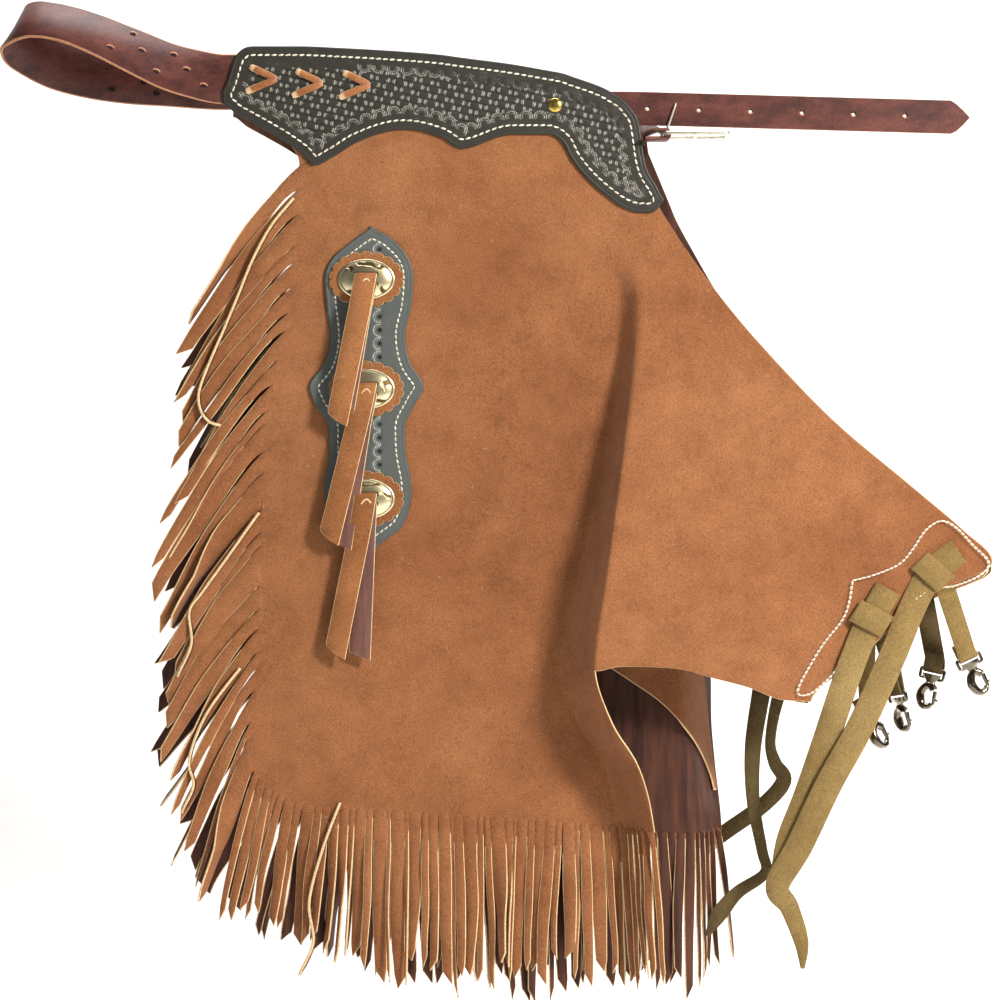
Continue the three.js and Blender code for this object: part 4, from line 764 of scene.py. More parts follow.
plateRows = [
    (0.000, 0.030, 0.060), (0.032, -0.080, 0.200), (0.090, -0.280, 0.357), (0.160, -0.365, 0.409),
    (0.244, -0.348, 0.391), (0.335, -0.322, 0.339), (0.420, -0.370, 0.383), (0.493, -0.500, 0.500),
    (0.550, -0.445, 0.420), (0.620, -0.330, 0.335), (0.700, -0.330, 0.345), (0.800, -0.370, 0.391),
    (0.860, -0.355, 0.380), (0.926, -0.270, 0.304), (1.000, -0.050, 0.080),
]
yokeBack = panelOut + gap
yokeFront = yokeBack + yoke["wall"]
plateBack = panelOut + gap
plateFront = plateBack + plate["wall"]


def evenLine(points, pitch, closed=True):
    # the points of a line at even steps, with the direction at each
    points = np.asarray(points, float)
    if closed:
        points = np.vstack([points, points[:1]])
    lengths = runLengths(points)
    count = max(int(round(lengths[-1] / pitch)), 1)
    stops = (np.arange(count) + 0.5) * lengths[-1] / count
    read = lambda s: np.stack([np.interp(s, lengths, points[:, k]) for k in range(points.shape[1])], 1)
    ahead = read(np.minimum(stops + pitch * 0.3, lengths[-1])) - read(np.maximum(stops - pitch * 0.3, 0))
    return read(stops), unit(ahead)


def distanceTo(line, points):
    # how far each point lies from a closed line of short segments
    a, b = line, np.roll(line, -1, axis=0)
    best = np.full(len(points), 1e9)
    for start in range(0, len(points), 4000):
        p = points[start:start + 4000][:, None, :]
        ab = (b - a)[None]
        t = np.clip(((p - a[None]) * ab).sum(2) / np.maximum((ab ** 2).sum(2), 1e-18), 0, 1)
        best[start:start + 4000] = np.linalg.norm(p - (a[None] + t[..., None] * ab), axis=2).min(1)
    return best


def insetLine(line, inset):
    # the line a seam follows inside an outline, its overshoot at sharp corners taken out
    even, ahead = evenLine(line, 1.0 * mm)
    area = np.sum(line[:, 0] * np.roll(line[:, 1], -1) - np.roll(line[:, 0], -1) * line[:, 1])
    inward = np.stack([-ahead[:, 1], ahead[:, 0]], 1) * (1 if area > 0 else -1)
    moved = even + inward * inset
    return moved[distanceTo(line, moved) > inset * 0.965]


def addStitch(store, centre, ahead, normal, slot, size):
    # one raised stitch: a short rounded bar of thread lying on the leather; size is length, width and height
    length, width, height = size
    aside = np.cross(normal, ahead)
    rings = [(-0.5, 0.05), (-0.42, 0.62), (-0.2, 1), (0.2, 1), (0.42, 0.62), (0.5, 0.05)]
    verts = []
    for along, full in rings:
        for turn in np.radians([0, 60, 120, 180, 240, 300]):
            verts.append(centre + ahead * along * length + aside * math.cos(turn) * full * width / 2
                         + normal * math.sin(turn) * full * height)
    faces = [tuple(range(6)), tuple(range(35, 29, -1))]
    for i in range(5):
        for k in range(6):
            p, q = i * 6 + k, i * 6 + (k + 1) % 6
            faces.append((q, p, p + 6, q + 6))
    addPart(store, verts, [face[::-1] for face in faces], slot)


def addSeam(store, seam, pitch, out, slot, size, slant=0.12):
    # stitches along a flat seam; each lies a little across its line
    for (x, z), (dx, dz) in zip(*evenLine(seam, pitch)):
        turned = (dx * math.cos(slant) - dz * math.sin(slant), dx * math.sin(slant) + dz * math.cos(slant))
        ahead = np.array([turned[0], 0, turned[1]])
        addStitch(store, np.array([x, -out, z]), ahead, np.array([0, -1.0, 0]), slot, size)


def weaveHeight(x, z, size, tilt):
    # basket-weave stamping: staggered pillows with pressed gaps and fine lines at their ends
    c, s = math.cos(math.radians(tilt)), math.sin(math.radians(tilt))
    u, v = (x * c - z * s) / size[0], (x * s + z * c) / size[1]
    row = np.floor(v)
    a = (u + 0.5 * np.mod(row, 2)) % 1
    b = v % 1
    pillow = np.clip(np.sin(np.pi * b), 0, 1) ** 0.5 * np.clip(np.sin(np.pi * a), 0, 1) ** 0.35
    ends = np.abs(a - 0.5) > 0.25
    return pillow, np.clip(1.7 * pillow, 0, 1) * ends


def shellHeight(points, centres, inward, radius):
    # half-round shell stamps along a border: two arcs and a knob in the middle
    height = np.zeros(len(points))
    for centre, into in zip(centres, inward):
        offset = points - centre
        near = np.abs(offset).max(1) < radius * 1.25
        local = offset[near]
        r = np.linalg.norm(local, axis=1) / radius
        open_ = (local @ into) / radius
        arc = np.exp(-((r - 0.95) / 0.10) ** 2) + 0.8 * np.exp(-((r - 0.6) / 0.09) ** 2)
        rays = 0.35 * (np.cos(np.arctan2(local[:, 1], local[:, 0]) * 12) > 0.3) * (r > 0.66) * (r < 0.9)
        dent = np.where(open_ > -0.25, arc + rays, 0)
        height[near] = np.maximum(height[near], dent)
    return height


def reliefPlate(curves, first, second, place, size, across, back, front, pressOf):
    # a flat leather shape whose face carries pressed relief on a fine grid that follows its outline
    cols = int(across / size)
    stops = np.concatenate([[0, 0.0015], np.linspace(0.004, 0.996, cols), [0.9985, 1]])
    one = np.array([place(t, float(curves[first](t))) for t in stops])
    two = np.array([place(t, float(curves[second](t))) for t in stops])
    tallest = np.linalg.norm(one - two, axis=1).max()
    rows = int(tallest / size)
    shares = np.concatenate([[0, 0.006], np.linspace(0.014, 0.986, rows), [0.994, 1]])
    flat = one[:, None, :] * (1 - shares[None, :, None]) + two[:, None, :] * shares[None, :, None]
    outline = np.concatenate([one, two[::-1]])
    points = flat.reshape(-1, 2)
    inset = distanceTo(outline, points)
    pressed, relief = pressOf(points, inset, outline)
    pressed = pressed + 0.7 * mm * np.clip(1 - inset / (1.6 * mm), 0, 1) ** 2
    relief = np.where(inset < 1.2 * mm, 0.5, relief)
    shape = flat.shape[:2]
    face = np.stack([points[:, 0], -(front - pressed), points[:, 1]], 1)
    rear = np.stack([points[:, 0], np.full(len(points), -back), points[:, 1]], 1)
    index = np.arange(len(points)).reshape(shape)
    a, b = index[:-1, :-1].ravel(), index[:-1, 1:].ravel()
    c, d = index[1:, 1:].ravel(), index[1:, :-1].ravel()
    n = len(points)
    ring = np.concatenate([index[:, 0], index[-1, 1:], index[-2::-1, -1], index[0, -2:0:-1]])
    nextRing = np.roll(ring, -1)
    faces = np.stack([a, b, c, d], 1).tolist()
    sign = np.cross(face[b[0]] - face[a[0]], face[d[0]] - face[a[0]])[1]
    if sign > 0:
        faces = [face_[::-1] for face_ in faces]
    backRing = (ring + n).tolist()
    sideFaces = np.stack([ring, nextRing, nextRing + n, ring + n], 1).tolist()
    if sign > 0:
        sideFaces = [face_[::-1] for face_ in sideFaces]
    store = newStore()
    used = np.concatenate([np.arange(n), np.array(sorted(set(backRing)))])
    position = {int(v): k for k, v in enumerate(used)}
    allPoints = np.concatenate([face, rear])[used]
    faces += [[position[v] for v in face_] for face_ in sideFaces]
    rearFace = [position[v] for v in backRing]
    faces.append(rearFace if sign > 0 else rearFace[::-1])
    slots = [0] * (len(faces) - 1) + [1]
    reliefs = np.concatenate([relief, np.full(len(used) - n, 0.5)])
    addPart(store, allPoints, faces, slots, None, reliefs)
    return store, outline


yokeCurves = columnsOf(yokeNames, yokeRows)
plateCurves = columnsOf(plateNames, plateRows)
yokePlace = lambda across, down: (yoke["left"] + across * yoke["width"], yoke["top"] - down * yoke["height"])
platePlace = lambda down, across: (plate["middle"] + across * plate["width"], plate["top"] - down * plate["height"])


def creaseAt(inset, line):
    # a pressed line along the edge; the line is its inset and its width
    return np.exp(-((inset - line[0]) / line[1]) ** 2)


def yokeRelief(points, inset, outline):
    # weave inside a border of shells; the margin stays smooth but for a faint creased line
    border = insetLine(outline, yoke["toolInset"] + yoke["shellRadius"] * 0.2)
    centres, ahead = evenLine(border, yoke["shellPitch"], False)
    # the shells run along the whole lower border, but along the upper one only past the laces
    pastLaces = centres[:, 0] > yoke["left"] + 0.30 * yoke["width"]
    low = np.array([z < float(yokePlace(0, 0.5 * (yokeCurves["top"](t) + yokeCurves["bottom"](t)))[1])
                    for t, z in zip((centres[:, 0] - yoke["left"]) / yoke["width"], centres[:, 1])])
    keep = low | pastLaces
    centres, ahead = centres[keep], ahead[keep]
    inward = np.stack([-ahead[:, 1], ahead[:, 0]], 1)
    test = distanceTo(outline, centres + inward * 2 * mm) > distanceTo(outline, centres)
    inward = np.where(test[:, None], inward, -inward)
    shell = shellHeight(points, centres, inward, yoke["shellRadius"])
    weave, ends = weaveHeight(points[:, 0], points[:, 1], yoke["weave"], yoke["tilt"])
    tooled = np.clip((inset - yoke["toolInset"] - yoke["shellRadius"] * 0.5) / (2 * mm), 0, 1)
    weaveDent = (1 - weave) * tooled
    band = np.clip(1 - np.abs(inset - yoke["toolInset"] - 0.2 * yoke["shellRadius"]) / yoke["shellRadius"], 0, 1)
    dent = np.where(shell > 0.15, shell * 0.9, weaveDent * np.where(band > 0.35, 0.25, 1))
    dent = np.clip(dent, 0, 1.3) + 0.35 * creaseAt(inset, yoke["crease"])
    shell = shell * np.where(points[:, 1] > yoke["top"] - 0.17 * yoke["width"] * (0.2 + 2 * np.clip(
        (points[:, 0] - yoke["left"]) / yoke["width"] - 0.4, 0, 1)), 0.62, 1)
    # painted highlight: the weave's tick ends and the shell arcs get relief above one, which the stamped look paints
    # pale grey; the dents get less and come out darker
    pale = np.maximum(ends * tooled * (shell < 0.15) * (band < 0.35), 1.5 * np.clip(shell - 0.35, 0, 1))
    return dent * yoke["press"], 1 - np.clip(dent, 0, 1) * (shell < 0.35) * 0.9 + 0.62 * pale


def plateRelief(points, inset, outline):
    # a column of crescents beside the strings, a round dent in each, and a creased line along the edge
    pitch = plate["crescentPitch"]
    count = int(plate["height"] * 0.86 / pitch)
    top = plate["top"] - 0.07 * plate["height"]
    centres = np.array([(plate["middle"] + plate["crescentAside"], top - k * pitch) for k in range(count)])
    inward = np.tile([-1.0, 0.0], (count, 1))
    inside = distanceTo(outline, centres) > 14 * mm
    dent = shellHeight(points, centres[inside], inward[inside], plate["crescentRadius"])
    crease = 0.5 * creaseAt(inset, plate["crease"])
    arc = np.clip(dent, 0, 1.2)
    away = np.linalg.norm(points[:, None] - centres[inside][None], axis=2).min(1)
    core = np.exp(-(away / plate["core"]) ** 2)
    # painted highlight: the raised part of each crescent's arcs gets relief above one and comes out pale grey; the
    # round dents come out darker
    return (arc + core + crease) * plate["press"], 1 - 1.2 * core + 0.9 * np.clip(arc - 0.3, 0, 1) * (core < 0.4)


def tooledPiece(side, name, node, part, look, front, *shape):
    # a stamped plate with its seam
    store, outline = reliefPlate(*shape)
    seam = insetLine(outline, part["stitchInset"])
    addSeam(store, seam, part["stitchPitch"], front - sunk, 2, part["stitch"])
    dress(finishPiece(side + name, store, [look, fleshLook, threadLook], side, 60), "tooled_leather", side + node)


for side in legSides:
    tooledPiece(side, "Yoke", "_yoke", yoke, tooledLook, yokeFront, yokeCurves, "top", "bottom", yokePlace,
                yoke["cell"], yoke["width"], yokeBack, yokeFront, yokeRelief)
    tooledPiece(side, "ConchoPlate", "_concho_plate", plate, plateLook, plateFront, plateCurves, "left", "right",
                platePlace, plate["cell"], plate["height"], plateBack, plateFront, plateRelief)
print("yokes and plates made")


def cutShape(outlines, back, front, bevel):
    # a flat piece cut from leather, its edges eased: points and faces, with 0 face, 1 back, 2 edge
    curve = bpy.data.curves.new("cut", "CURVE")
    curve.dimensions = "2D"
    curve.fill_mode = "BOTH"
    curve.extrude = (front - back) / 2 - bevel
    curve.bevel_depth = bevel
    curve.bevel_resolution = 1
    curve.offset = -bevel
    for outline in outlines:
        spline = curve.splines.new("POLY")
        spline.points.add(len(outline) - 1)
        for point, (x, z) in zip(spline.points, outline):
            point.co = (x, z, 0, 1)
        spline.use_cyclic_u = True
    shape = bpy.data.objects.new("cut", curve)
    bpy.context.scene.collection.objects.link(shape)
    solid = bpy.data.meshes.new_from_object(shape.evaluated_get(bpy.context.evaluated_depsgraph_get()))
    points = np.array([v.co for v in solid.vertices])
    faces = [tuple(p.vertices) for p in solid.polygons]
    slots = [0 if p.normal.z > 0.9 else 1 if p.normal.z < -0.9 else 2 for p in solid.polygons]
    bpy.data.objects.remove(shape)
    bpy.data.curves.remove(curve)
    bpy.data.meshes.remove(solid)
    middle = (front + back) / 2
    return np.stack([points[:, 0], -(middle + points[:, 2]), points[:, 1]], 1), faces, slots


def addTube(store, points, radii, slot=0, closed=False, up=(0, 1, 0), flat=1.0, around=12):
    # a round or flattened wire along a line; up is a direction that the line never takes
    points = np.asarray(points, float)
    n = len(points)
    if closed:
        ahead = np.roll(points, -1, axis=0) - np.roll(points, 1, axis=0)
    else:
        ahead = np.gradient(points, axis=0)
    ahead = unit(ahead)
    up = np.asarray(up, float)
    lift = unit(up - ahead * (ahead @ up)[:, None])
    aside = np.cross(ahead, lift)
    radii = np.broadcast_to(np.asarray(radii, float), (n,))
    turns = np.linspace(0, 2 * math.pi, around, endpoint=False)
    rings = (points[:, None] + aside[:, None] * (np.cos(turns)[None, :, None] * radii[:, None, None])
             + lift[:, None] * (np.sin(turns)[None, :, None] * radii[:, None, None] * flat))
    faces = []
    for i in range(n if closed else n - 1):
        for k in range(around):
            p, q = i * around + k, i * around + (k + 1) % around
            r, s = ((i + 1) % n) * around + (k + 1) % around, ((i + 1) % n) * around + k
            faces.append((p, s, r, q))
    if not closed:
        faces += [tuple(range(around)), tuple(range((n - 1) * around, n * around))[::-1]]
    a, b, c = rings[0, 0], rings[1, 0], rings[0, 1]
    outward = np.dot(np.cross(b - a, c - a), a - points[0])
    faces = faces if outward > 0 else [face[::-1] for face in faces]
    addPart(store, rings.reshape(-1, 3), faces, slot)


def addLathe(store, profile, centre, slot=0, around=32, stretch=(1, 1)):
    # a turned shape about a line along -Y; the profile is radius and depth, closed by its ends
    turns = np.linspace(0, 2 * math.pi, around, endpoint=False)
    points, faces = [], []
    for radius, out in profile:
        for turn in turns:
            points.append((centre[0] + radius * stretch[0] * math.cos(turn), -out,
                           centre[1] + radius * stretch[1] * math.sin(turn)))
    for i in range(len(profile) - 1):
        for k in range(around):
            p, q = i * around + k, i * around + (k + 1) % around
            faces.append((p, q, q + around, p + around))
    last = (len(profile) - 1) * around
    faces += [tuple(range(around))[::-1], tuple(range(last, last + around))]
    addPart(store, points, faces, slot)


# the laces, crossed in a V, and the rivet that hold the yoke to the belt and the billet
laces = {
    "places": [(0.059, 0.200), (0.163, 0.225), (0.270, 0.235)], "reach": 27 * mm, "spread": 24 * mm,
    "width": 6.6 * mm, "wall": 2.6 * mm, "arch": 1.6 * mm, "steps": 11, "over": 0.35 * mm,
}
rivet = {
    "across": 0.753, "down": 0.355, "head": 14 * mm, "shank": 3.6 * mm, "dome": 2.6 * mm, "burr": 1.4 * mm,
    "burrRim": 0.7 * mm, "headRim": 0.4 * mm,
}
belt = {"width": 44.5 * mm, "wall": 3.5 * mm, "loop": 36 * mm, "hole": 3.5 * mm}
beltBack = panelOut - belt["wall"]
rivetX, rivetZ = yokePlace(rivet["across"], rivet["down"])

for side in legSides:
    store = newStore()
    for across, down in laces["places"]:
        x, z = yokePlace(across, down)
        tip = np.array([x + laces["reach"], z])
        for k, start in enumerate(((x + 1.5 * mm, z + laces["spread"] / 2), (x - 2 * mm, z - laces["spread"] / 2))):
            centres = []
            for s in np.linspace(0, 1, laces["steps"]):
                flat = np.array(start) * (1 - s) + tip * s
                rise = laces["arch"] * math.sin(math.pi * s) ** 0.6 + (laces["over"] if k else 0)
                centres.append((flat[0], -(yokeFront + laces["wall"] * 0.1 + rise), flat[1]))
            centres = np.array(centres)
            ahead = centres[-1] - centres[0]
            ahead[1] = 0
            aside = np.cross(ahead / np.linalg.norm(ahead), (0, -1, 0))
            share = np.linspace(0, 1, laces["steps"])
            edge = np.repeat([1, 0.9, 0.3, 0, 0, 0, 0, 0, 0, 0, 0.5], 8)  # pale where it comes out of its holes
            edge = np.clip(edge + np.tile([0.7, 0, 0, 0.4, 0.4, 0, 0, 0.7], laces["steps"]), 0, 1)
            widths = laces["width"] * np.interp(share, [0, 0.1, 0.3, 0.85, 1], [0.75, 0.95, 1, 1, 0.55])
            addRibbon(store, centres, np.tile(aside, (laces["steps"], 1)), widths, laces["wall"],
                      np.tile([0, -1.0, 0], (laces["steps"], 1)), (0, 0, 0), 0.34, edge)
    piece = finishPiece(side + "YokeLaces", store, [laceLook], side, 70)
    dress(piece, "lace", *[f"{side}_yoke_lace_{k}" for k in (1, 2, 3)])
    head, shank = rivet["head"] / 2, rivet["shank"] / 2
    back, front = beltBack - gap, yokeFront + gap * 0.3
    profile = [(head * 0.3, back - rivet["burr"]), (head * 0.66, back - rivet["burr"]),
               (head * 0.7, back - rivet["burrRim"]), (head * 0.7, back), (shank, back), (shank, front),
               (head * 0.97, front), (head, front + rivet["headRim"])]
    for turn in np.radians(np.linspace(11.25, 90, 8)):
        rise = rivet["headRim"] + (rivet["dome"] - rivet["headRim"]) * math.sin(turn)
        profile.append((head * (0.06 + 0.93 * math.cos(turn)), front + rise))
    store = newStore()
    addLathe(store, profile, (rivetX, rivetZ))
    dress(finishPiece(side + "Rivet", store, [brassLook], side, 50), "brass", side + "_rivet")
print("laces and rivets made")

rosette = {"width": 72 * mm, "height": 54 * mm, "wall": 2 * mm, "scallops": 18, "depth": 2.6 * mm}
concho = {
    "width": 54 * mm, "height": 38 * mm, "dome": 5 * mm, "slotWidth": 23 * mm, "slotHeight": 3.6 * mm,
    "slotDrop": 5 * mm, "pitch": 104.3 * mm, "first": 0.163,
}
conchoProfile = [  # radius and height as shares: the beaded rim, then the dome
    (0.35, 0), (0.97, 0), (1, 0.12), (1, 0.24), (0.975, 0.34), (0.93, 0.36), (0.90, 0.33), (0.87, 0.40), (0.80, 0.56),
    (0.68, 0.74), (0.52, 0.88), (0.34, 0.96), (0.16, 0.995), (0.03, 1),
]
string = {"width": 21 * mm, "wall": 1.8 * mm, "steps": 40, "slitWire": 0.8 * mm}
stringSlit = [(-4.5, -5), (-1.8, -1.6), (0.5, -0.4), (2.6, -1.4), (4.6, -4.2)]  # X and Z in millimetres
stringTails = [  # how far each tail leans and drops in shares of the pitch; the back tail's own lean and drop
    {"leans": -0.268, "drops": 1.323, "backLeans": -0.2, "backDrops": 1.18},
    {"leans": -0.345, "drops": 1.400, "backLeans": -0.23, "backDrops": 1.45},
    {"leans": -0.288, "drops": 1.438, "backLeans": -0.06, "backDrops": 1.46},
]
rosetteBack = plateFront + gap
rosetteFront = rosetteBack + rosette["wall"]
conchoBack = rosetteFront + gap
conchoZ = lambda k: plate["top"] - concho["first"] * plate["height"] - k * concho["pitch"]


def rosetteOutline(centreZ):
    # half-round scallops with a sharp notch between them
    points = []
    for k in range(rosette["scallops"]):
        for share in (0, 0.1, 0.25, 0.42, 0.58, 0.75, 0.9):
            turn = (k + share) / rosette["scallops"] * 2 * math.pi
            dip = rosette["depth"] * (1 - math.sin(math.pi * share) ** 0.55)
            points.append((plate["middle"] + (rosette["width"] / 2 - dip) * math.cos(turn),
                           centreZ + (rosette["height"] / 2 - dip) * math.sin(turn)))
    return points


def conchoShape():
    # an oval dome with a beaded rim, cut through by two slots; its centre at the origin
    rise = concho["dome"]
    profile = [(radius, up * rise) for radius, up in conchoProfile]
    store = newStore()
    addLathe(store, profile, (0, 0), 0, 72, (concho["width"] / 2, concho["height"] / 2))
    dome = finishPiece("dome", store, [conchoLook])
    for sign in (1, -1):
        knife = newStore()
        half, tall = concho["slotWidth"] / 2, concho["slotHeight"] / 2
        outline = [(x * half, z * tall + sign * concho["slotDrop"]) for x, z in (
            (0.93, -1), (1, -0.5), (1, 0.5), (0.93, 1), (-0.93, 1), (-1, 0.5), (-1, -0.5), (-0.93, -1))]
        addPart(knife, *cutShape([outline], -10 * mm, 20 * mm, 0.1 * mm))
        cutter = finishPiece("cutter", knife, [conchoLook, conchoLook, conchoLook], smooth=False)
        cut = dome.modifiers.new("slot", "BOOLEAN")
        cut.operation, cut.solver, cut.object = "DIFFERENCE", "EXACT", cutter
        bpy.context.view_layer.update()
        solid = bpy.data.meshes.new_from_object(dome.evaluated_get(bpy.context.evaluated_depsgraph_get()))
        dome.modifiers.clear()
        dome.data = solid
        bpy.data.objects.remove(cutter)
    points = np.array([v.co for v in dome.data.vertices])
    faces = [tuple(p.vertices) for p in dome.data.polygons]
    bpy.data.objects.remove(dome)
    reach = np.hypot(points[:, 0] / (concho["width"] / 2), points[:, 2] / (concho["height"] / 2))
    rim = np.clip((reach - 0.56) / 0.1, 0, 1) * np.clip((0.9 - reach) / 0.03, 0, 1)
    return points, faces, rim


domePoints, domeFaces, domeRim = conchoShape()


def addString(store, k):
    # up through the lower slot, over the bridge, and two tails that hang one over the other
    tail, z = stringTails[k], conchoZ(k)
    front = conchoBack + concho["dome"] + gap + string["wall"]
    layers = (2 - k) * (string["wall"] + gap) * 1.6
    for back in (True, False):
        lean = tail["backLeans" if back else "leans"] * concho["pitch"]
        drop = tail["backDrops" if back else "drops"] * concho["pitch"]
        hangs = front + layers - (string["wall"] * 1.25 if back else 0)
        x, slot = plate["middle"], concho["slotDrop"]
        if back:
            route = [(x, -(rosetteFront + gap), z - slot), (x, -(conchoBack + concho["dome"] * 0.9), z - slot * 1.2)]
        else:
            route = [(x, -(rosetteFront + gap), z + slot), (x, -(conchoBack + concho["dome"]), z + slot),
                     (x - 1 * mm, -(front + 2 * mm), z)]
        for share, out in ((0.2, 1 * mm), (0.6, 0), (0.9, 0), (1, 0)):
            route.append((x + lean * share, -(hangs + out), z - drop * share))
        line = smoothLine(route, string["steps"])
        ahead = unit(np.gradient(line, axis=0))
        aside = unit(np.array([1.0, 0, 0]) - ahead * ahead[:, :1])
        share = np.linspace(0, 1, string["steps"])
        wide = np.interp(share, [0, 0.02, 0.12, 0.2, 0.865, 1], [0.8, 0.82, 0.92, 1, 1, 0.05])
        widths = string["width"] * wide
        shift = string["width"] * np.where(share > 0.5, (1 - wide) * 0.5, 0)
        line = line + aside * shift[:, None]
        edge = ringMarks(1, 0.1, string["steps"])
        skins = (3, 3, 2) if back else (0, 3, 2)
        addRibbon(store, line, aside, widths, string["wall"], None, skins, 0.3, edge)
        if back:
            continue
        slit = [(x + across * mm, -(front + 2 * mm + string["wall"] * 0.55), z + up * mm)
                for across, up in stringSlit]
        addTube(store, smoothLine(slit, 13), string["slitWire"], 2)


for side in legSides:
    for k in range(3):
        store = newStore()
        points, faces, slots = cutShape([rosetteOutline(conchoZ(k))], rosetteBack, rosetteFront, 0.7 * mm)
        addPart(store, points, faces, slots)
        dress(finishPiece(f"{side}Rosette{k + 1}", store, [rosetteLook, rosetteLook, edgeLook], side, 60),
              "rosette_suede", f"{side}_rosette_{k + 1}")
        store = newStore()
        place = np.array([plate["middle"], -conchoBack, conchoZ(k)])
        addPart(store, domePoints + place, domeFaces, 0, domeRim)
        dress(finishPiece(f"{side}Concho{k + 1}", store, [conchoLook], side, 40),
              "engraved_metal", f"{side}_concho_{k + 1}")
        store = newStore()
        addString(store, k)
        dress(finishPiece(f"{side}ConchoString{k + 1}", store, [rosetteLook, rosetteLook, edgeLook, stringGrainLook],
                          side, 60), "rosette_suede", f"{side}_concho_string_{k + 1}")
print("conchos and strings made")

# the wing's patch, a second hide behind the wing's end, and the seam that holds it
patch = {
    "wall": 1.8 * mm, "inset": 3 * mm, "stitchPitch": 4.6 * mm, "stitch": (3.864 * mm, 1.5 * mm, 0.6 * mm),
}
patchNames = ("row", "start")
patchRows = [(7, 0.88), (8, 0.90), (9, 0.66), (10, 0.73), (11, 0.81), (12, 0.92)]
patchStart = columnsOf(patchNames, patchRows, False)["start"]
patchSeam = [  # X and Z in millimetres, round the patch
    (389, -494), (409, -489), (433, -479), (447, -464), (459, -447), (474, -438), (488, -444), (505, -461),
    (520, -477), (512, -489), (488, -499), (461, -504), (428, -529), (409, -543), (381, -568), (366, -586),
    (349, -600), (337, -600), (341, -586), (360, -555), (379, -531), (386, -514),
]


def patchPiece(side):
    # a second hide glued behind the wing's end
    rowAt = np.linspace(8, wingEnd, 60)
    shares = np.linspace(0, 1, 26)
    down, rimX, rimZ = sections["crestZ"](rowAt), sections["rimX"](rowAt), sections["rimZ"](rowAt)
    crestX = crestShare(side, down, sections["crestX"](rowAt))
    start = patchStart(rowAt)
    across = start[:, None] * (1 - shares) + shares * (1 - patch["inset"] / ((rimX - crestX) * leg["width"]))[:, None]
    x = (crestX[:, None] * (1 - across) + rimX[:, None] * across) * leg["width"]
    z = -(down[:, None] * (1 - across) + rimZ[:, None] * across) * leg["drop"]
    grid = np.stack([x, surfaceAt(side, x, z), z], 2)
    normals = gridNormals(grid)
    grid = grid - normals * (leg["wall"] + gap)
    store = newStore()
    addSheet(store, grid, np.ones((len(rowAt) - 1, len(shares) - 1), bool), patch["wall"], normals)
    piece = finishPiece(side + "WingPatch", store, [suedeLook, suedeLook, edgeLook], side)
    return dress(piece, "suede", side + "_wing_patch")


def seamPiece(side):
    # the seam shows on the wing's face and again on the patch behind it
    line = smoothLine(np.array(patchSeam + patchSeam[:1]) * mm, 240)[:-1]
    points, ahead = evenLine(line, patch["stitchPitch"])
    store = newStore()
    for behind in (False, True):
        for (x, z), (dx, dz) in zip(points, ahead):
            step = 0.5 * mm
            at = lambda u, v: np.array([u, float(surfaceAt(side, u, v)), v])
            centre = at(x, z)
            normal = unit(np.cross(at(x, z + step) - at(x, z - step), at(x + step, z) - at(x - step, z)))
            forward = np.array([dx, 0, dz]) - normal * (normal[0] * dx + normal[2] * dz)
            forward = unit(forward)
            out = -(leg["wall"] + gap + patch["wall"]) + sunk if behind else -sunk
            addStitch(store, centre + normal * out, forward, -normal if behind else normal, 0, patch["stitch"])
    piece = finishPiece(side + "PatchSeam", store, [threadLook], side, 80)
    return dress(piece, "lace")


for side in legSides:
    hides[side] += [patchPiece(side), seamPiece(side)]
print("patches made")

# the back belt's loop: its lower edge as seen from the front, how far it stands out, its lean and roll in degrees
beltNames = ("run", "x", "z", "depth", "lean", "roll")
beltRows = [
    (0.0, -89, -40.4, 0.3, 0, 0), (2.0, -207, -40.4, 0.3, 0, 0), (2.4, -236.6, -34.2, 0.45, 8, 0),
    (2.8, -260.3, -26.6, 0.6, 14, 0), (3.2, -284, -15.2, 0.75, 20, 0), (3.6, -307.8, -3.4, 0.88, 27, 2),
    (4.0, -324, 4.4, 0.95, 31, 4), (4.4, -346.8, 14.2, 1, 36, 8), (4.8, -365.8, 20, 0.98, 38, 12),
    (5.2, -383.8, 22.6, 0.85, 36, 18), (5.5, -397.1, 22.3, 0.68, 30, 23), (5.75, -408.5, 17.5, 0.42, 20, 27),
    (6.0, -415.2, 9.5, 0, 8, 28), (6.25, -408.5, -4.8, -0.42, 2, 24), (6.5, -394.3, -13.8, -0.68, 0, 18),
    (6.8, -377.2, -22.8, -0.85, 0, 13), (7.2, -355.3, -30.4, -0.98, 0, 8), (7.6, -324, -37, -1, 0, 3),
    (8.0, -291.7, -40.9, -0.85, 0, 0), (8.4, -260.3, -42.8, -0.6, 0, 0), (9.0, -207.1, -46.2, -0.3, 0, 0),
    (11.0, -89, -46.2, -0.3, 0, 0),
]
beltCurves = columnsOf(beltNames, beltRows)
beltHoles = {  # X and Z in millimetres, on the run of each leg
    "near": [(-299, 24.7), (-310.5, 10.5), (-285, 8.6), (-255.6, 4.8), (-267, -11.9), (-241, -9.5), (-222, -24.7)],
    "far": [(-301, -9.5), (-309, -28.5), (-282, -21.9), (-266.5, -32.3)],
}


def seenAt(x, y, z):
    # the place at depth y that is seen where x, z would be in the near leg's plane
    share = (view["distance"] + y - view["legY"]) / view["distance"]
    return view["middleX"] + (x - view["middleX"]) * share, view["middleZ"] + (z - view["middleZ"]) * share


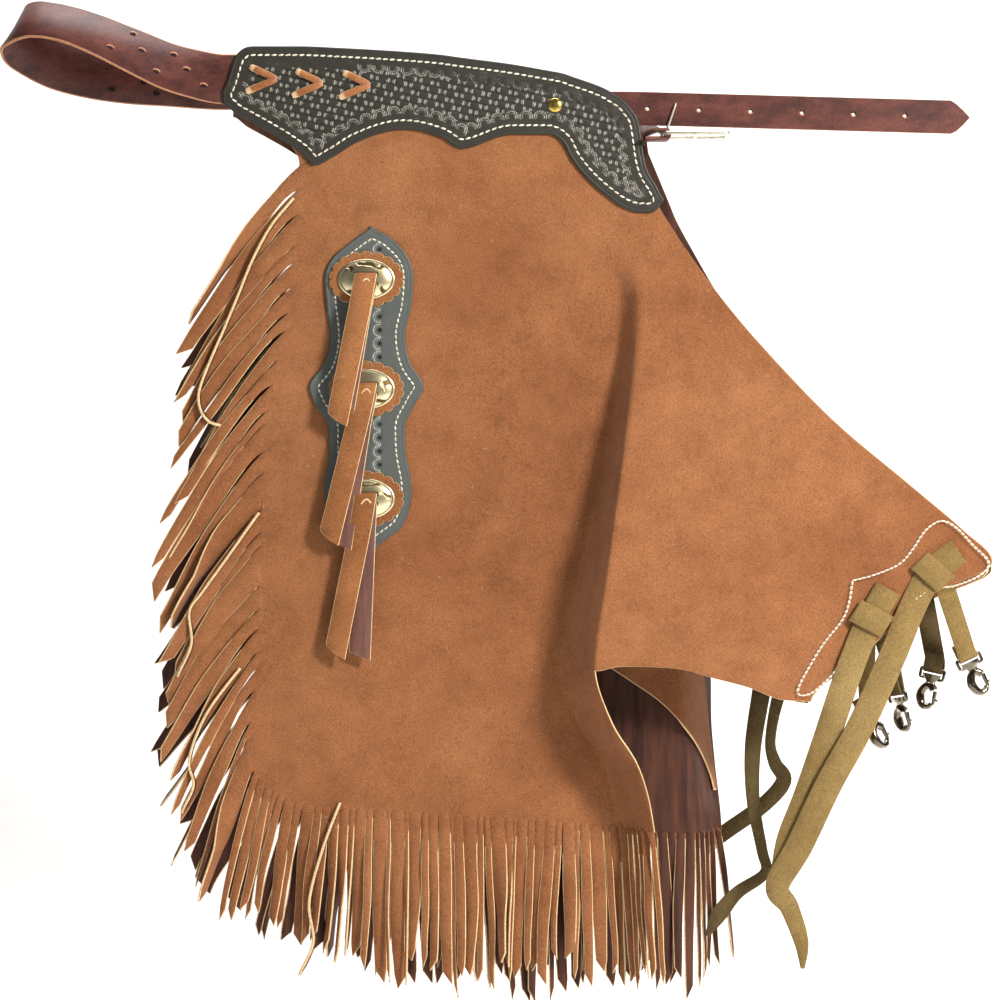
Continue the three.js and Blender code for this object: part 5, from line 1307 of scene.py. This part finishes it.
def beltStation(run):
    # the centre and the width direction of the belt at one place
    x, z, depth, lean, roll = (float(beltCurves[name](run)) for name in beltNames[1:])
    inner = panelOut - belt["wall"] / 2
    share = max(min((abs(depth) - 0.3) / 0.7, 1), 0)
    out = inner + (belt["loop"] - inner) * share if abs(depth) > 0.3 else inner * abs(depth) / 0.3
    y = math.copysign(out, -depth)
    lean, roll = math.radians(lean), math.radians(roll)
    up = np.array([math.sin(roll) * math.cos(lean), math.sin(lean), math.cos(roll) * math.cos(lean)])
    x, z = seenAt(x * mm, y, z * mm)
    return np.array([x, y, z]) + up * belt["width"] / 2, up


stations = [beltStation(r) for r in np.concatenate([[0, 1], np.linspace(2, 9, 132), [10, 11]])]
line = np.array([centre for centre, up in stations])
for k in range(3):
    line[3:-3] = (line[2:-4] + 2 * line[3:-3] + line[4:-2]) / 4
ahead = unit(np.gradient(line, axis=0))
ups = np.array([up for centre, up in stations])
ups = unit(ups - ahead * (ups * ahead).sum(1, keepdims=True))
facings = np.cross(ahead, ups)
store = newStore()
addRibbon(store, line, ups, belt["width"] * 1.06, belt["wall"], facings, (0, 0, 2), 0.28,
          ringMarks(1, 0.2, len(line)))


def addEyelet(store, centre, normal, along, radius, dark=3, rim=0):
    # a punched hole: a dark oval of painted shade, pulled long, with its pale cut wall showing along one side
    across = np.cross(normal, along)
    across *= 1 if across[2] > 0 else -1
    turns = np.linspace(0, 2 * math.pi, 20, endpoint=False)
    rise = lambda t: math.sin(t) * (0.62 if math.sin(t) > 0 else 0.5)
    circle = lambda r, lift, ts: [centre + along * r * math.cos(t) + across * r * rise(t) + normal * lift for t in ts]
    points = circle(radius, 0.12 * mm, turns) + circle(radius, -0.6 * mm, turns)
    ring = [(k, (k + 1) % 20, 20 + (k + 1) % 20, 20 + k) for k in range(20)]
    faces = ring + [tuple(range(20))[::-1], tuple(range(20, 40))]
    if np.dot(np.cross(points[1] - points[0], points[20] - points[0]), points[0] - centre) < 0:
        faces = [face[::-1] for face in faces]
    addPart(store, points, faces, dark)
    arc = np.radians(np.linspace(8, 172, 13))
    thick = 0.75 * mm * np.sin(arc) ** 0.5 + 0.1 * mm
    addTube(store, circle(radius, 0.1 * mm, arc), thick, rim, False, normal, 0.6, 6)


bend = len(line) // 2
for name, run in (("near", slice(2, bend)), ("far", slice(bend, len(line) - 2))):
    for x, z in beltHoles[name]:
        seenX = [abs(seenAt(x * mm, point[1], 0)[0] - point[0]) for point in line[run]]
        k = int(np.argmin(seenX)) + run.start
        facing = facings[k] * (1 if facings[k][1] < 0 else -1)
        centre = line[k] + ups[k] * (seenAt(0, line[k][1], z * mm)[1] - line[k][2]) / ups[k][2]
        centre = centre + facing * belt["wall"] / 2
        # the far run's holes take the painted hole shade on their cut walls as well
        addEyelet(store, centre, facing, ahead[k], belt["hole"], 3, 2 if name == "near" else 3)
dress(finishPiece("backBelt", store, [latigoLook, latigoLook, tanEdgeLook, holeShadeLook], None, 60),
      "latigo", "back_belt")

billet = {
    "width": 31.75 * mm, "reach": 321 * mm, "overlap": 92 * mm, "pitch": 49 * mm, "hole": 5 * mm, "holes": 6,
    "first": 62 * mm, "point": 18 * mm, "lead": 18 * mm, "fall": 9 * mm,
}
billetStart = rivetX - billet["lead"]
billetEnd = billetStart + billet["overlap"] + billet["reach"]
billetTop = yokePlace(0, 0.27)[1]
billetFall = lambda x: -billet["fall"] * max(x - billetStart - billet["overlap"], 0) / billet["reach"]


def billetOutline():
    # along the top to the point, and back along the lower edge
    points = []
    shoulder = billetEnd - billet["point"]
    for x in np.linspace(billetStart, shoulder, 24):
        points.append((x, billetTop + billetFall(x)))
    tipZ = billetTop + billetFall(billetEnd) - billet["width"] / 2
    for s in (0.3, 0.62, 0.86, 1.0):
        points.append((shoulder + billet["point"] * s, tipZ + billet["width"] / 2 * (1 - s ** 1.35)))
    for s in (0.86, 0.62, 0.3):
        points.append((shoulder + billet["point"] * s, tipZ - billet["width"] / 2 * (1 - s ** 1.35)))
    for x in np.linspace(shoulder, billetStart, 24):
        points.append((x, billetTop + billetFall(x) - billet["width"]))
    return points


store = newStore()
holePlaces = [billetEnd - billet["first"] - k * billet["pitch"] for k in range(billet["holes"])]
holeMiddle = lambda x: billetTop + billetFall(x) - billet["width"] / 2
holeRound = lambda x, share, turns: [
    (x + billet["hole"] * share * math.cos(t), holeMiddle(x) + billet["hole"] * share * math.sin(t)) for t in turns]
circles = [holeRound(x, 0.5, np.linspace(0, 2 * math.pi, 20, endpoint=False)) for x in holePlaces]
addPart(store, *cutShape([billetOutline()] + circles, beltBack, panelOut, 0.7 * mm))
for x in holePlaces:
    # inside each hole, a dark arc of painted shade deep down and a pale one nearer its mouth
    for first, last, slot, out in ((-25, 150, 3, 1.4), (150, 335, 2, 0.7)):
        around = holeRound(x, 0.42, np.radians(np.linspace(first, last, 12)))
        addTube(store, [(u, -(panelOut - out * mm), v) for u, v in around], 0.8 * mm, slot, False, (0, 1, 0), 1.6, 8)
dress(finishPiece("billet", store, [latigoLook, latigoLook, tanEdgeLook, holeShadeLook], None, 60), "latigo", "billet")
print("belt and billet made")

# the buckle strap, and the buckle that lies flat at its end
buckle = {
    "strapWidth": 26.75 * mm, "strapWall": 3.2 * mm, "length": 59 * mm, "wire": 3.6 * mm, "tongueWire": 3 * mm,
    "tongueReach": 29 * mm, "tongueRest": 71, "tail": 19 * mm, "drop": 10 * mm,
}
buckleRoute = [  # run, across, down and how flat it lies, as shares of the way to the bar
    (0, 0, 0, 0), (0.333, 0, 0, 0), (0.462, 0.17, 0.07, 0), (0.635, 0.3, 0.45, 0.1),
    (0.783, 0.4, 0.96, 0.3), (0.896, 0.72, 1, 0.85), (0.965, 1, 1, 1),
]
barX = yoke["left"] + yoke["width"] + 1 * mm
barZ = billetTop - billet["width"] - buckle["drop"]
barY = -(panelOut + gap * 2 + buckle["tongueWire"] / 2)
wrap = buckle["wire"] / 2 + gap * 1.6 + buckle["strapWall"] / 2
startX = billetStart + leg["farShift"][0]
startY = panelOut - belt["wall"] / 2
startZ = billetTop + leg["farShift"][2] - billet["width"] / 2
route, flats = [], []
for run, across, down, flat in buckleRoute:
    route.append((startX + (barX - startX) * run, startY + (barY - startY) * across,
                  startZ + (barZ + wrap - startZ) * down))
    flats.append(flat)
bendStart = len(route)
for turn in np.radians([90, 60, 30, 0, -30, -60, -90]):
    route.append((barX + wrap * math.cos(turn), barY, barZ + wrap * math.sin(turn)))
    flats.append(1)
route.append((barX - buckle["tail"], barY, barZ - wrap))
flats.append(1)
count = (len(route) - 1) * 5 + 1
line = smoothLine(route, count)
flats = np.interp(np.linspace(0, len(route) - 1, count), range(len(route)), flats)
ahead = unit(np.gradient(line, axis=0))
asides = np.array([[0, 0, 1.0]]) * (1 - flats[:, None]) + np.array([[0, 1.0, 0]]) * flats[:, None]
asides = unit(asides - ahead * (asides * ahead).sum(1, keepdims=True))
store = newStore()
marks = partial(ringMarks, 0.45, 0.2)
slotStart, slotEnd = (bendStart - 2) * 5, count - 8
slotWidth = buckle["tongueWire"] + 2 * gap + 1 * mm
narrow, aside = (buckle["strapWidth"] - slotWidth) / 2, (buckle["strapWidth"] + slotWidth) / 4
# whole before the tongue's slot, in two runs beside it, and whole again behind it
full = buckle["strapWidth"]
for first, last, width, offset in ((0, slotStart, full, 0), (slotStart, slotEnd, narrow, aside),
                                   (slotStart, slotEnd, narrow, -aside), (slotEnd, count - 1, full, 0)):
    part = slice(first, last + 1)
    addRibbon(store, line[part] + asides[part] * offset, asides[part], width, buckle["strapWall"], None, (0, 0, 2),
              0.25, marks(last + 1 - first))
dress(finishPiece("buckleStrap", store, [latigoLook, latigoLook, latigoLook], None, 60), "latigo", "buckle_strap")

halfBar = billet["width"] / 2 + 2 * mm + buckle["wire"] / 2
corner = 3 * mm
ringPoints = []
for cx, cy, first in ((buckle["length"], halfBar, 0), (0, halfBar, 90), (0, -halfBar, 180),
                      (buckle["length"], -halfBar, 270)):
    inX = cx + (-corner if cx else corner)
    inY = cy - math.copysign(corner, cy)
    for k in range(6):
        turn = math.radians(first + 90 * k / 5)
        ringPoints.append((barX + inX + corner * math.cos(turn), barY + inY + corner * math.sin(turn), barZ))
store = newStore()
addTube(store, ringPoints, buckle["wire"] / 2, 0, True, (0, 0, 1), 1, 16)
addTube(store, [(barX + buckle["tongueReach"], barY + t * halfBar, barZ) for t in np.linspace(-1, 1, 5)],
        buckle["wire"] * 0.46, 0, False, (0, 0, 1), 1, 16)
dress(finishPiece("buckleFrame", store, [buckleLook], None, 60), "nickel", "buckle_frame")

store = newStore()
ringRadius = buckle["wire"] / 2 + gap + buckle["tongueWire"] * 0.42
tongueRing = [(barX + ringRadius * math.cos(t), barY, barZ + ringRadius * math.sin(t))
              for t in np.linspace(0, 2 * math.pi, 24, endpoint=False)]
addTube(store, tongueRing, buckle["tongueWire"] * 0.4, 0, True, (0, 1, 0), 1.1, 12)
rest = math.radians(buckle["tongueRest"])
reach = np.linspace(ringRadius, buckle["wire"] / 2 + gap + buckle["tongueReach"] + buckle["tongueWire"] * 0.3, 12)
thick = buckle["tongueWire"] * 0.4 * np.interp(np.linspace(0, 1, 12), [0, 0.86, 1], [1.05, 1, 0.55])
addTube(store, [(barX + r * math.cos(rest), barY, barZ + r * math.sin(rest)) for r in reach], thick, 0, False,
        (0, 1, 0), 1, 12)
dress(finishPiece("buckleTongue", store, [buckleLook], None, 60), "nickel", "buckle_tongue", body="tongue")
print("buckle made")

# leg straps: x and z in shares of the leg, then off the leg in walls or out from the middle in crest rises
strap = {
    "width": 25.4 * mm, "wall": 2 * mm, "keeper": 22.8 * mm, "keeperAt": 33 * mm, "keeperSlant": 0.12,
    "tab": (0.4 * mm, 26 * mm), "snapWidth": 19 * mm, "snapWall": 1.6 * mm,
}
keeperRound = [  # across in half widths and out in walls, over the strap from side to side
    (-0.94, -0.1), (-1.06, 0.55), (-0.97, 1.35), (-0.6, 1.75), (0, 1.9), (0.6, 1.75), (0.97, 1.35), (1.06, 0.55),
    (0.94, -0.1),
]
strapRoutes = {
    "near": [
        [(0.590, 0.686, "off", 1.5, 1), (0.567, 0.725, "off", 1.55, 1), (0.552, 0.757, "off", 1.9, 1),
         (0.532, 0.808, "off", 2.3, 1), (0.508, 0.885, "out", 0.591, 1), (0.484, 0.956, "out", 0.5, 1),
         (0.462, 1.015, "out", 0.424, 1), (0.449, 1.065, "out", 0.379, 0.7)],
        [(0.685, 0.638, "off", 1.3, 1), (0.648, 0.667, "off", 1.3, 1), (0.622, 0.712, "off", 2, 1),
         (0.594, 0.775, "out", 0.742, 1), (0.551, 0.868, "out", 0.697, 1), (0.513, 0.937, "out", 0.636, 1),
         (0.474, 1.020, "out", 0.515, 1), (0.446, 1.072, "out", 0.439, 0.9), (0.462, 1.100, "out", 0.409, 0.72),
         (0.478, 1.145, "out", 0.379, 0.55), (0.480, 1.180, "out", 0.364, 0.16)],
    ],
    "far": [
        [(0.433, 0.770, "off", -2.5, 0.72), (0.420, 0.822, "out", 0.576, 0.7), (0.409, 0.890, "out", 0.455, 0.62),
         (0.409, 0.957, "out", 0.364, 0.5), (0.420, 1.020, "out", 0.273, 0.42), (0.424, 1.050, "out", 0.242, 0.42),
         (0.387, 1.076, "out", 0.227, 0.5), (0.362, 1.105, "out", 0.212, 0.6), (0.346, 1.133, "out", 0.212, 0.14)],
        [(0.470, 0.770, "off", -2.5, 0.72), (0.445, 0.820, "out", 0.621, 0.5), (0.434, 0.878, "out", 0.636, 0.4),
         (0.440, 0.908, "out", 0.636, 0.5), (0.452, 0.932, "out", 0.636, 0.6), (0.425, 0.965, "out", 0.727, 0.6),
         (0.372, 1.005, "out", 0.939, 0.6), (0.335, 1.035, "out", 0.97, 0.5)],
    ],
}


def legStrap(side, k):
    # a long strap from the wing; the near one shows its tab and keeper
    route = []
    for x, z, kind, amount, width in strapRoutes[side][k]:
        at = (x * leg["width"], -z * leg["drop"])
        out = float(legOut(side, *at)) + amount * strap["wall"] if kind == "off" else amount * leg["crestRise"]
        route.append((at[0], -out, at[1], width))
    route = np.array(route)
    count = (len(route) - 1) * 8 + 1
    line = smoothLine(route, count)
    widths = line[:, 3] * strap["width"]
    line = line[:, :3]
    ahead, aside, normal = ribbonFrame(line)
    store = newStore()
    addRibbon(store, line, aside, widths, strap["wall"], normal, (0, 0, 2), 0.3, marks(count))
    if side == "near":
        # the tab's folded end, and the slit end of the strap drawn round it as a keeper
        lengths = runLengths(line)
        at = lambda s, rows: np.array([np.interp(s, lengths, rows[:, c]) for c in range(3)])
        stops = np.linspace(*strap["tab"], 9)
        tab = [at(s, line) + at(s, normal) * (strap["wall"] * 0.98) for s in stops]
        addRibbon(store, tab, [at(s, aside) for s in stops], strap["width"] * 0.93, strap["wall"] * 0.8,
                  [at(s, normal) for s in stops], (0, 0, 2), 0.3, marks(9))
        c, n, w, a = (at(strap["keeperAt"], rows) for rows in (line, normal, aside, ahead))
        tilt = a * math.cos(strap["keeperSlant"]) + w * math.sin(strap["keeperSlant"])
        halfWidth = strap["width"] * 0.62
        loop = []
        for s, lift in keeperRound:
            loop.append(c + w * s * halfWidth + n * (0.4 + lift) * strap["wall"])
        loop = smoothLine(loop, 33)
        run = unit(np.gradient(loop, axis=0))
        across = unit(tilt - run * (run @ tilt)[:, None])
        outward = np.cross(run, across)
        outward *= np.sign((outward * (loop - c)).sum(1, keepdims=True) + 1e-9)
        addRibbon(store, loop, across, strap["keeper"], strap["wall"] * 0.75, outward, (0, 0, 2), 0.3, marks(33))
    # the far leg's straps take the darker, painted-shade copy of the strap leather
    look = strapLook if side == "near" else shadedFarStrapLook
    dress(finishPiece(f"{side}LegStrap{k + 1}", store, [look, look, look], side, 60),
          "strap_leather", f"{side}_leg_strap_{k + 1}")


# where each snap hangs: its strap's start, the eye's place, its lean and turn in degrees
snapHangs = {
    "near": [
        {"fromX": 0.665, "fromZ": 0.675, "clear": 2.6, "x": 0.700, "z": 0.776, "out": 0.212, "lean": 24, "turn": 12},
        {"fromX": 0.562, "fromZ": 0.735, "clear": 2.6, "x": 0.567, "z": 0.846, "out": 0.258, "lean": 26, "turn": 35},
    ],
    "far": [
        {"fromX": 0.638, "fromZ": 0.672, "clear": 5, "x": 0.648, "z": 0.782, "out": 0.121, "lean": -12, "turn": 30},
        {"fromX": 0.582, "fromZ": 0.720, "clear": 5, "x": 0.599, "z": 0.812, "out": 0.136, "lean": 14, "turn": 55},
    ],
}
snap = {
    "wire": 3.2 * mm, "wall": 5 * mm, "eyeWidth": 21 * mm, "eyeHeight": 6 * mm, "neck": 8 * mm, "hookWidth": 18 * mm,
    "hookLength": 24 * mm, "gate": 3.4 * mm, "bold": 2.5, "bend": 1.6 * mm,
}
eyeDrop = snap["eyeHeight"] + snap["wire"]
hookTop = eyeDrop + snap["neck"]
hookDrop = hookTop + snap["hookLength"] / 2 - snap["wire"]
pivotX = snap["hookWidth"] / 2 - snap["wire"] * 0.6
pivotDrop = hookTop + snap["hookLength"] * 0.2
gateDrop = snap["hookLength"] * 0.48


def snapFrame(hang):
    # how a snap is turned, and the place of its eye
    turned = (Matrix.Rotation(math.radians(-hang["lean"]), 3, "Y")
              @ Matrix.Rotation(math.radians(hang["turn"]), 3, "Z"))
    place = np.array([hang["x"] * leg["width"], -hang["out"] * leg["crestRise"], -hang["z"] * leg["drop"]])
    return np.array(turned), place


def snapStrap(side, k):
    # down from behind the wing, round the eye's bar and back up behind itself
    hang = snapHangs[side][k]
    turned, place = snapFrame(hang)
    local = lambda x, y, z: turned @ np.array([x, y, z]) + place
    wrapped = snap["wire"] / 2 + gap + strap["snapWall"] / 2
    behind = leg["wall"] + patch["wall"] + strap["snapWall"] / 2 + gap * hang["clear"]
    legPoint = lambda x, z: np.array([x, -float(legOut(side, x, z)) + behind, z])
    fromX, fromZ = hang["fromX"] * leg["width"], -hang["fromZ"] * leg["drop"]
    top = legPoint(fromX, fromZ)
    face = legPoint(fromX + mm, fromZ) - top
    face = unit(face)
    across = turned @ np.array([1.0, 0, 0])
    eyeTop = local(0, -wrapped, snap["eyeHeight"])
    route = [(top, face), (top * 0.66 + eyeTop * 0.34, face * 0.66 + across * 0.34),
             (top * 0.33 + eyeTop * 0.67, face * 0.33 + across * 0.67), (eyeTop, across)]
    for turn in (0, 30, 60, 90, 120, 150, 180):
        t = math.radians(turn)
        route.append((local(0, -wrapped * math.cos(t), -wrapped * math.sin(t)), across))
    route.append((local(0, wrapped + 0.8 * mm, snap["eyeHeight"] * 2.4), across))
    centres = smoothLine([p for p, s in route], (len(route) - 1) * 3 + 1)
    asides = smoothLine([s for p, s in route], (len(route) - 1) * 3 + 1)
    ahead = unit(np.gradient(centres, axis=0))
    asides = unit(asides - ahead * (asides * ahead).sum(1, keepdims=True))
    store = newStore()
    addRibbon(store, centres, asides, strap["snapWidth"], strap["snapWall"], None, (0, 0, 2), 0.3,
              marks(len(centres)))
    # the far leg's straps take the darker, painted-shade copy of the strap leather
    look = strapLook if side == "near" else shadedFarStrapLook
    dress(finishPiece(f"{side}SnapStrap{k + 1}", store, [look, look, look], side, 60),
          "strap_leather", f"{side}_snap_strap_{k + 1}")


def snapPieces(side, k):
    # the snap's body (eye, neck and hook), and its sprung gate as a piece of its own
    hang = snapHangs[side][k]
    turned, place = snapFrame(hang)
    put = lambda rows: np.array(rows) @ turned.T + place
    up = turned @ np.array([0, 1.0, 0])
    store = newStore()
    wire = snap["wire"] / 2
    halfEye = snap["eyeWidth"] / 2 + wire
    eye = []
    for cx, cz, first in ((halfEye, 0, 0), (-halfEye, 0, 90), (-halfEye, -eyeDrop, 180), (halfEye, -eyeDrop, 270)):
        for q in range(5):
            t = math.radians(first + 90 * q / 4)
            r = snap["bend"]
            eye.append((cx - math.copysign(r, cx) + r * math.cos(t), 0,
                        cz + (-r if cz == 0 else r) + r * math.sin(t)))
    addTube(store, put(eye), wire, 0, True, up, 1.15, 14)
    neckDrops = [snap["wire"] / 2 + 3.2 * mm, eyeDrop - 0.6 * mm, eyeDrop + 1.5 * mm, eyeDrop + 3.2 * mm,
                 eyeDrop + 5 * mm, hookTop - 0.5 * mm, hookTop + 2.2 * mm]
    neckRadii = np.array([9.6, 8.8, 6.6, 5.2, 5.0, 6.4, 5.8]) * mm
    addTube(store, put([(0, 0, -drop) for drop in neckDrops]), neckRadii, 0, False, up, 0.5, 16)
    # the hook goes round from its shoulder by the pivot, over the far side, to its lip under the gate
    hook = []
    rx, rz = snap["hookWidth"] / 2 - wire, snap["hookLength"] / 2 - wire
    for degrees in np.linspace(36, 322, 40):
        t = math.radians(degrees)
        tear = 1 - 0.22 * max(math.sin(t), 0) ** 2
        hook.append((rx * math.cos(t) * tear, 0, -hookDrop + rz * math.sin(t)))
    shares = np.linspace(0, 1, 40)
    thick = wire * snap["bold"] * np.interp(shares, [0, 0.3, 0.55, 0.9, 1], [1.1, 1.0, 1.2, 0.9, 0.6])
    addTube(store, put(hook), thick, 0, False, up, 1.1, 16)
    dress(finishPiece(f"{side}Snap{k + 1}", store, [nickelLook], side, 60), "nickel", f"{side}_snap_{k + 1}")
    store = newStore()
    gate = [(pivotX, 0, -pivotDrop - drop) for drop in (-1.5 * mm, 2 * mm, gateDrop * 0.5, gateDrop - gap)]
    addTube(store, put(gate), snap["gate"] * np.array([0.7, 0.68, 0.62, 0.5]), 0, False, up, 1.1, 12)
    knuckle = [(pivotX, y * snap["wall"] * 0.4, -pivotDrop) for y in (-1, -0.8, 0, 0.8, 1)]
    addTube(store, put(knuckle), snap["gate"] / 2 * np.array([0.8, 1, 1, 1, 0.8]), 0, False,
            turned @ np.array([0, 0, 1.0]), 1, 16)
    # the small knob that opens the gate
    trigger = [(pivotX + d * mm, 0, -pivotDrop - gateDrop * 0.6) for d in (0, 2, 3.2, 4)]
    addTube(store, put(trigger), np.array([1.2, 1.2, 1.5, 1.0]) * mm, 0, False, up, 1.1, 12)
    gateNode = f"{side}_snap_gate_{k + 1}"
    dress(finishPiece(f"{side}SnapGate{k + 1}", store, [nickelLook], side, 60), "nickel", gateNode,
          body=gateNode + "_body")


for side in legSides:
    for k in range(2):
        legStrap(side, k)
        snapStrap(side, k)
        snapPieces(side, k)
print("straps and snaps made")

studio = {
    "floor": -0.97, "backdrop": 1.1, "half": 5.0, "bend": 0.5, "ambient": 0.06,
    "lights": [  # name, place, what it looks at, size, watts, colour
        ("key", (1.75, -1.9, 0.75), (0.05, 0, -0.4), 0.45, 93, "#FFFAF4"),
        ("fill", (-1.9, -2.4, 0.0), (0.05, 0, -0.4), 2.2, 1.6, "#F4F8FF"),
        ("wall", (0.0, 0.35, 2.2), (0.0, 1.1, -0.5), 2.0, 90, "#FFFFFF"),
    ],
}


def backdropSheet():
    # a pale floor that curves up into a wall behind
    profile = [(-studio["half"], studio["floor"]), (studio["backdrop"] - studio["bend"], studio["floor"])]
    for k in range(1, 13):
        turn = math.radians(90 * k / 12)
        profile.append((studio["backdrop"] - studio["bend"] + studio["bend"] * math.sin(turn),
                        studio["floor"] + studio["bend"] * (1 - math.cos(turn))))
    profile.append((studio["backdrop"], studio["floor"] + studio["half"]))
    points = [(x, y, z) for y, z in profile for x in (-studio["half"], studio["half"])]
    faces = [(2 * i, 2 * i + 1, 2 * i + 3, 2 * i + 2) for i in range(len(profile) - 1)]
    mesh = bpy.data.meshes.new("floor")
    mesh.from_pydata(points, [], faces)
    mesh.shade_smooth()
    floor = bpy.data.objects.new("floor", mesh)
    bpy.context.scene.collection.objects.link(floor)
    look, add, place = newLook("painted board, matt")
    # even paint with a trace of the roller, so that the ground reads as plain paper white
    grain = add("TexNoise", {"Vector": place, "Scale": 1 / 0.02, "Detail": 3})
    color = add("ValToRGB", {"Fac": grain}, stops=[(0.3, "#FAFAF9"), (0.7, "#FDFDFC")])
    # the board shows from its front alone, so that a view from behind sees the piece
    front = add("Math", {0: 1.0, 1: add("NewGeometry", out="Backfacing")}, operation="SUBTRACT")
    finishLook(add, Base_Color=color, Roughness=0.95, Specular_IOR_Level=0.1, Alpha=front)
    mesh.materials.append(look)


def addLight(name, place, aim, size, power, color):
    # a square soft box
    data = bpy.data.lights.new(name, "AREA")
    data.shape = "SQUARE"
    data.size = size
    data.energy = power
    data.color = toLinear(color)[:3]
    light = bpy.data.objects.new(name, data)
    light.location = place
    light.rotation_euler = (Vector(aim) - Vector(place)).to_track_quat("-Z", "Y").to_euler()
    bpy.context.scene.collection.objects.link(light)


backdropSheet()
for light in studio["lights"]:
    addLight(*light)
world = bpy.data.worlds.new("studio")
bpy.context.scene.world = world
world.use_nodes = True
background = world.node_tree.nodes["Background"]
background.inputs["Color"].default_value = toLinear("#FFFFFF")
background.inputs["Strength"].default_value = studio["ambient"]
print("light set")
